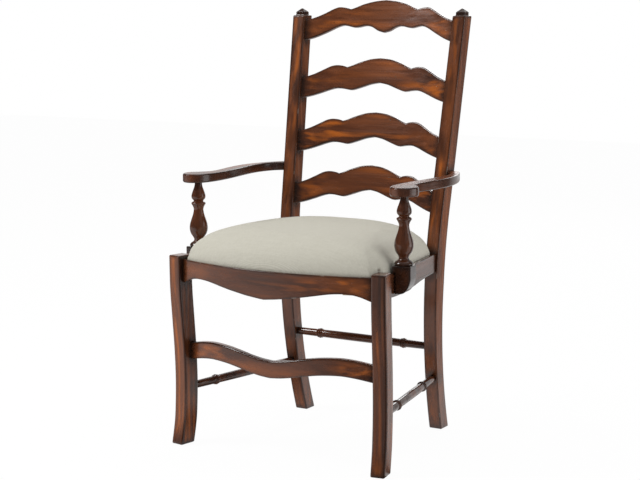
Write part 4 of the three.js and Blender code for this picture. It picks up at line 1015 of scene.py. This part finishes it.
# A short cloth run under pressure; the sides are held and no point moves further than the cap
def inflate(pad):
    start = [v.co.copy() for v in pad.data.vertices]
    held = pad.vertex_groups.new(name="held")
    held.add([v.index for v in pad.data.vertices if v.co.z < cushion["pinTop"] * mm], 1.0, "REPLACE")
    cloth = pad.modifiers.new("cloth", "CLOTH")
    cloth.settings.vertex_group_mass = "held"
    cloth.settings.use_pressure = True
    cloth.settings.uniform_pressure_force = cushion["pressure"]
    cloth.settings.effector_weights.gravity = 0
    cloth.point_cache.frame_end = cushion["frames"] + 5
    for step in range(1, cushion["frames"] + 1):
        scene.frame_set(step)
    settle(pad)
    scene.frame_set(1)
    for vert, first in zip(pad.data.vertices, start):
        move = vert.co - first
        if move.length > cushion["cap"] * mm:
            vert.co = first + move.normalized() * cushion["cap"] * mm
    bm = openMesh(pad.data)
    smoothTop(bm, cushion["afterSmoothing"])
    closeMesh(bm, pad.data)


def buildCushion():
    full = max(domeShare(0, y) for y in range(-120, 60, 4))
    pad = addMesh("seat_cushion", skin(padSections(full)))
    remesh = pad.modifiers.new("evenMesh", "REMESH")
    remesh.mode = "VOXEL"
    remesh.voxel_size = cushion["voxel"] * mm
    settle(pad)
    bm = openMesh(pad.data)
    # The remesh leaves small steps on the flat part, so its points go back to the dome
    for vert in smoothTop(bm, cushion["smoothing"]):
        rise = domeShare(vert.co.x / mm, vert.co.y / mm - shiftY) / full
        share = limited((rise - cushion["evenFrom"]) / (cushion["evenTo"] - cushion["evenFrom"]))
        height = (cushion["base"] + cushion["crown"] * rise) * mm
        vert.co.z += (height - vert.co.z) * share
    closeMesh(bm, pad.data)
    inflate(pad)
    finer = pad.modifiers.new("finer", "SUBSURF")
    finer.levels = finer.render_levels = 1
    settle(pad)
    bm = openMesh(pad.data)
    bm.normal_update()
    gatherShadeLayer = bm.verts.layers.float.new("shadedGather")
    moves = []
    for vert in bm.verts:
        if vert.co.z > cushion["pinTop"] * mm:
            depth, away = foldDepth(vert.co.x / mm, vert.co.y / mm - shiftY)
            moves.append((vert, vert.normal * -depth * mm))
            # Painted shade spot round the gather, fading out over its radius
            away = math.hypot(away, vert.co.z / mm - cushion["gatherShadeHeight"])
            vert[gatherShadeLayer] = max(0, 1 - away / cushion["gatherShadeRadius"])
    for vert, move in moves:
        vert.co += move
    closeMesh(bm, pad.data)
    pad.data.shade_smooth()
    return pad


# Apply what modifies a piece
def settle(piece):
    bpy.context.view_layer.update()
    evaluated = piece.evaluated_get(bpy.context.evaluated_depsgraph_get())
    mesh = bpy.data.meshes.new_from_object(evaluated)
    piece.modifiers.clear()
    old = piece.data
    piece.data = mesh
    bpy.data.meshes.remove(old)


pad = buildCushion()
pad.data.materials.clear()
pad.data.materials.append(linen("greige_linen"))
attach(pad, "seat")
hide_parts("seat_cover", "seat_foam")
print("cushion built:", len(pad.data.polygons), "faces")


# Pieces kept from the CAD model, in their own finishes
def plainWood(name, dark, light, turn=(0, 0, 0), roughness=(0.62, 0.78)):
    t = Tree(name)
    here = t.mapped(t.here(), Rotation=turn)
    rings = t.grain(here, (5, 60, 60), 4, 0.6, distortion=0.4)
    fibre = t.grain(here, (30, 420, 420), 3, 0.6)
    value = t.total((rings, 0.7), (fibre, 0.3))
    t.set(Base_Color=t.ramp(value, (0.38, dark), (0.62, light)), Normal=t.bump(value, 0.0004, 0.5),
          Roughness=t.range(fibre, 0.3, 0.7, *roughness))
    return t.owner


# A finish made of one noise: the stops of its colour, its roughness and its relief
def speckle(name, scale, detail, stops, roughness, relief, metallic=0.0):
    t = Tree(name)
    noise = t.noise(t.here(), scale, detail, 0.6)
    t.set(Base_Color=t.ramp(noise, *stops), Normal=t.bump(noise, *relief), Metallic=metallic,
          Roughness=t.range(noise, 0.3, 0.7, *roughness) if len(roughness) == 2 else roughness[0])
    return t.owner


pine = plainWood("pine_blocks", (150, 108, 66), (204, 164, 112), lengthwise)
zinc = speckle("zinc_screws", 260, 3, ((0.3, (168, 166, 160)), (0.7, (206, 206, 204))), (0.28, 0.45),
               (0.0001, 0.3), metallic=1.0)
cambric = speckle("black_cambric", 900, 3, ((0.35, (20, 20, 22)), (0.65, (38, 38, 40))), [0.95],
                  (0.0003, 0.4))
nylon = speckle("nylon_glides", 320, 4, ((0.35, (34, 30, 27)), (0.7, (62, 56, 50))), (0.45, 0.65),
                (0.0001, 0.4))
finishes = {
    "corner_block": pine, "arm_dowel": pine, "block_screw": zinc, "bracket_screw": zinc,
    "seat_board": plainWood("plywood_board", (168, 132, 90), (214, 182, 138)),
    "seat_dust_cover": cambric, "glide": nylon,
}
for name, node in nodes.items():
    for stem, material in finishes.items():
        if name.startswith(stem):
            node.material_slots[0].material = material
print("kept pieces finished")

# Floor, light and camera; a glow has a direction and a span of cosines over which it rises, and a lamp has
# its power, place and size
studio = {
    "floorSize": 9.0, "floorWhite": 0.97, "floorTint": (0.89, 0.91), "world": 0.56, "front": 0.1,
    "whiteWay": (-0.3, 0.954, 0), "whiteSpan": (0.74, 0.9), "topSpan": (0.5, 0.95), "topGlow": 0.5,
    "floorWay": (-0.8, -0.6, 0), "floorSpan": (0.6, 0.97), "floorGlow": 1.0, "glowFrom": (0.28, -0.23, 0),
    "sideWay": (0.96, 0.28, 0), "sideSpan": (0.85, 0.95), "sideGlow": 1.0, "aim": (0, 0, 0.55),
    "lamps": {"key": (76, (-2.3, -1.6, 2.9), 1.0), "fill": (5, (2.9, -1.2, 2.2), 2.6),
              "top": (26, (0.2, 0.6, 3.4), 2.2), "side": (16, (2.6, 0.9, 0.8), 1.6),
              "rim": (24, (-1.3, 4.2, 2.2), 1.6)},
}
white = (1, 1, 1, 1)
bm = bmesh.new()
bmesh.ops.create_grid(bm, x_segments=1, y_segments=1, size=studio["floorSize"])
floor = addMesh("studio_floor", bm)


# Whether a ray comes from the camera, itself or through gloss or glass
def seenDirectly(t):
    rays = t.add("LightPath").outputs
    return t.larger(t.larger(rays["Is Camera Ray"], rays["Is Glossy Ray"]), rays["Is Transmission Ray"])


# White for the camera. In reflections it is white only towards the back of the chair, with a dimmer patch
# overhead, and on the floor also in front of the chair and at its right side
def glowStrength(t, way, onFloor=False):
    aim = t.vector("NORMALIZE", way)
    lobes = [(studio["whiteWay"], studio["whiteSpan"], 1.0)]
    if onFloor:
        lobes += [(studio["floorWay"], studio["floorSpan"], studio["floorGlow"]),
                  (studio["sideWay"], studio["sideSpan"], studio["sideGlow"])]
    else:
        lobes.append(((0, 0, 1), studio["topSpan"], studio["topGlow"]))
    strongest = t.add("LightPath").outputs["Is Camera Ray"]
    for lobe, span, most in lobes:
        glow = t.range(t.vector("DOT_PRODUCT", aim, lobe), *span, studio["front"], most)
        strongest = t.larger(glow, strongest)
    return strongest


# Mix two shaders by a share and send the result to the tree's output
def showMix(t, output, share, first, second):
    mix = t.add("MixShader", {0: share, 1: first, 2: second}).outputs[0]
    t.feed(t.nodes[output].inputs["Surface"], mix)


def floorMaterial():
    t = Tree("white_floor")
    here = t.here()
    tint = t.range(t.noise(here, 3.0, 2.0), 0.3, 0.7, *studio["floorTint"])
    t.set(Base_Color=tint, Roughness=0.9, Specular_IOR_Level=0.1)
    strength = glowStrength(t, t.vector("SUBTRACT", here, studio["glowFrom"]), onFloor=True)
    glow = t.add("Emission", {"Color": white, "Strength": strength}).outputs[0]
    share = t.times(seenDirectly(t), studio["floorWhite"])
    showMix(t, "Material Output", share, t.shader.outputs[0], glow)
    return t.owner


floor.data.materials.append(floorMaterial())

scene.world = bpy.data.worlds.new("studio_world")
around = Tree("studio_world", scene.world)
backdrop = around.nodes["Background"]
around.feed(backdrop.inputs["Color"], white)
around.feed(backdrop.inputs["Strength"], glowStrength(around, around.add("TexCoord").outputs["Generated"]))
ambient = around.add("Background", {"Color": white, "Strength": studio["world"]})
showMix(around, "World Output", seenDirectly(around), ambient.outputs[0], backdrop.outputs[0])

for name, (power, place, size) in studio["lamps"].items():
    lamp = bpy.data.lights.new(name + "_lamp", "AREA")
    lamp.energy = power
    lamp.size = size
    stand = addObject(name + "_lamp", lamp)
    stand.location = place
    stand.rotation_euler = (Vector(place) - Vector(studio["aim"])).to_track_quat("Z", "Y").to_euler()

view = {
    "lens": 89.08, "sensor": 36, "place": (1974.53, -3374.52, 1076.38), "azimuth": 30.57, "elevation": 8.30,
    "roll": 0.08,
}
camera = addObject("camera", bpy.data.cameras.new("camera"))
camera.data.lens = view["lens"]
camera.data.sensor_width = view["sensor"]
camera.data.sensor_fit = "HORIZONTAL"
azimuth, elevation = math.radians(view["azimuth"]), math.radians(view["elevation"])
back = Vector((math.sin(azimuth) * math.cos(elevation), -math.cos(azimuth) * math.cos(elevation),
               math.sin(elevation)))
turned = back.to_track_quat("Z", "Y").to_matrix() @ Matrix.Rotation(math.radians(view["roll"]), 3, "Z")
camera.rotation_euler = turned.to_euler()
camera.location = toScene(*view["place"])
camera.data.clip_end = 50
scene.camera = camera
scene.view_settings.view_transform = "Standard"
print("studio ready")
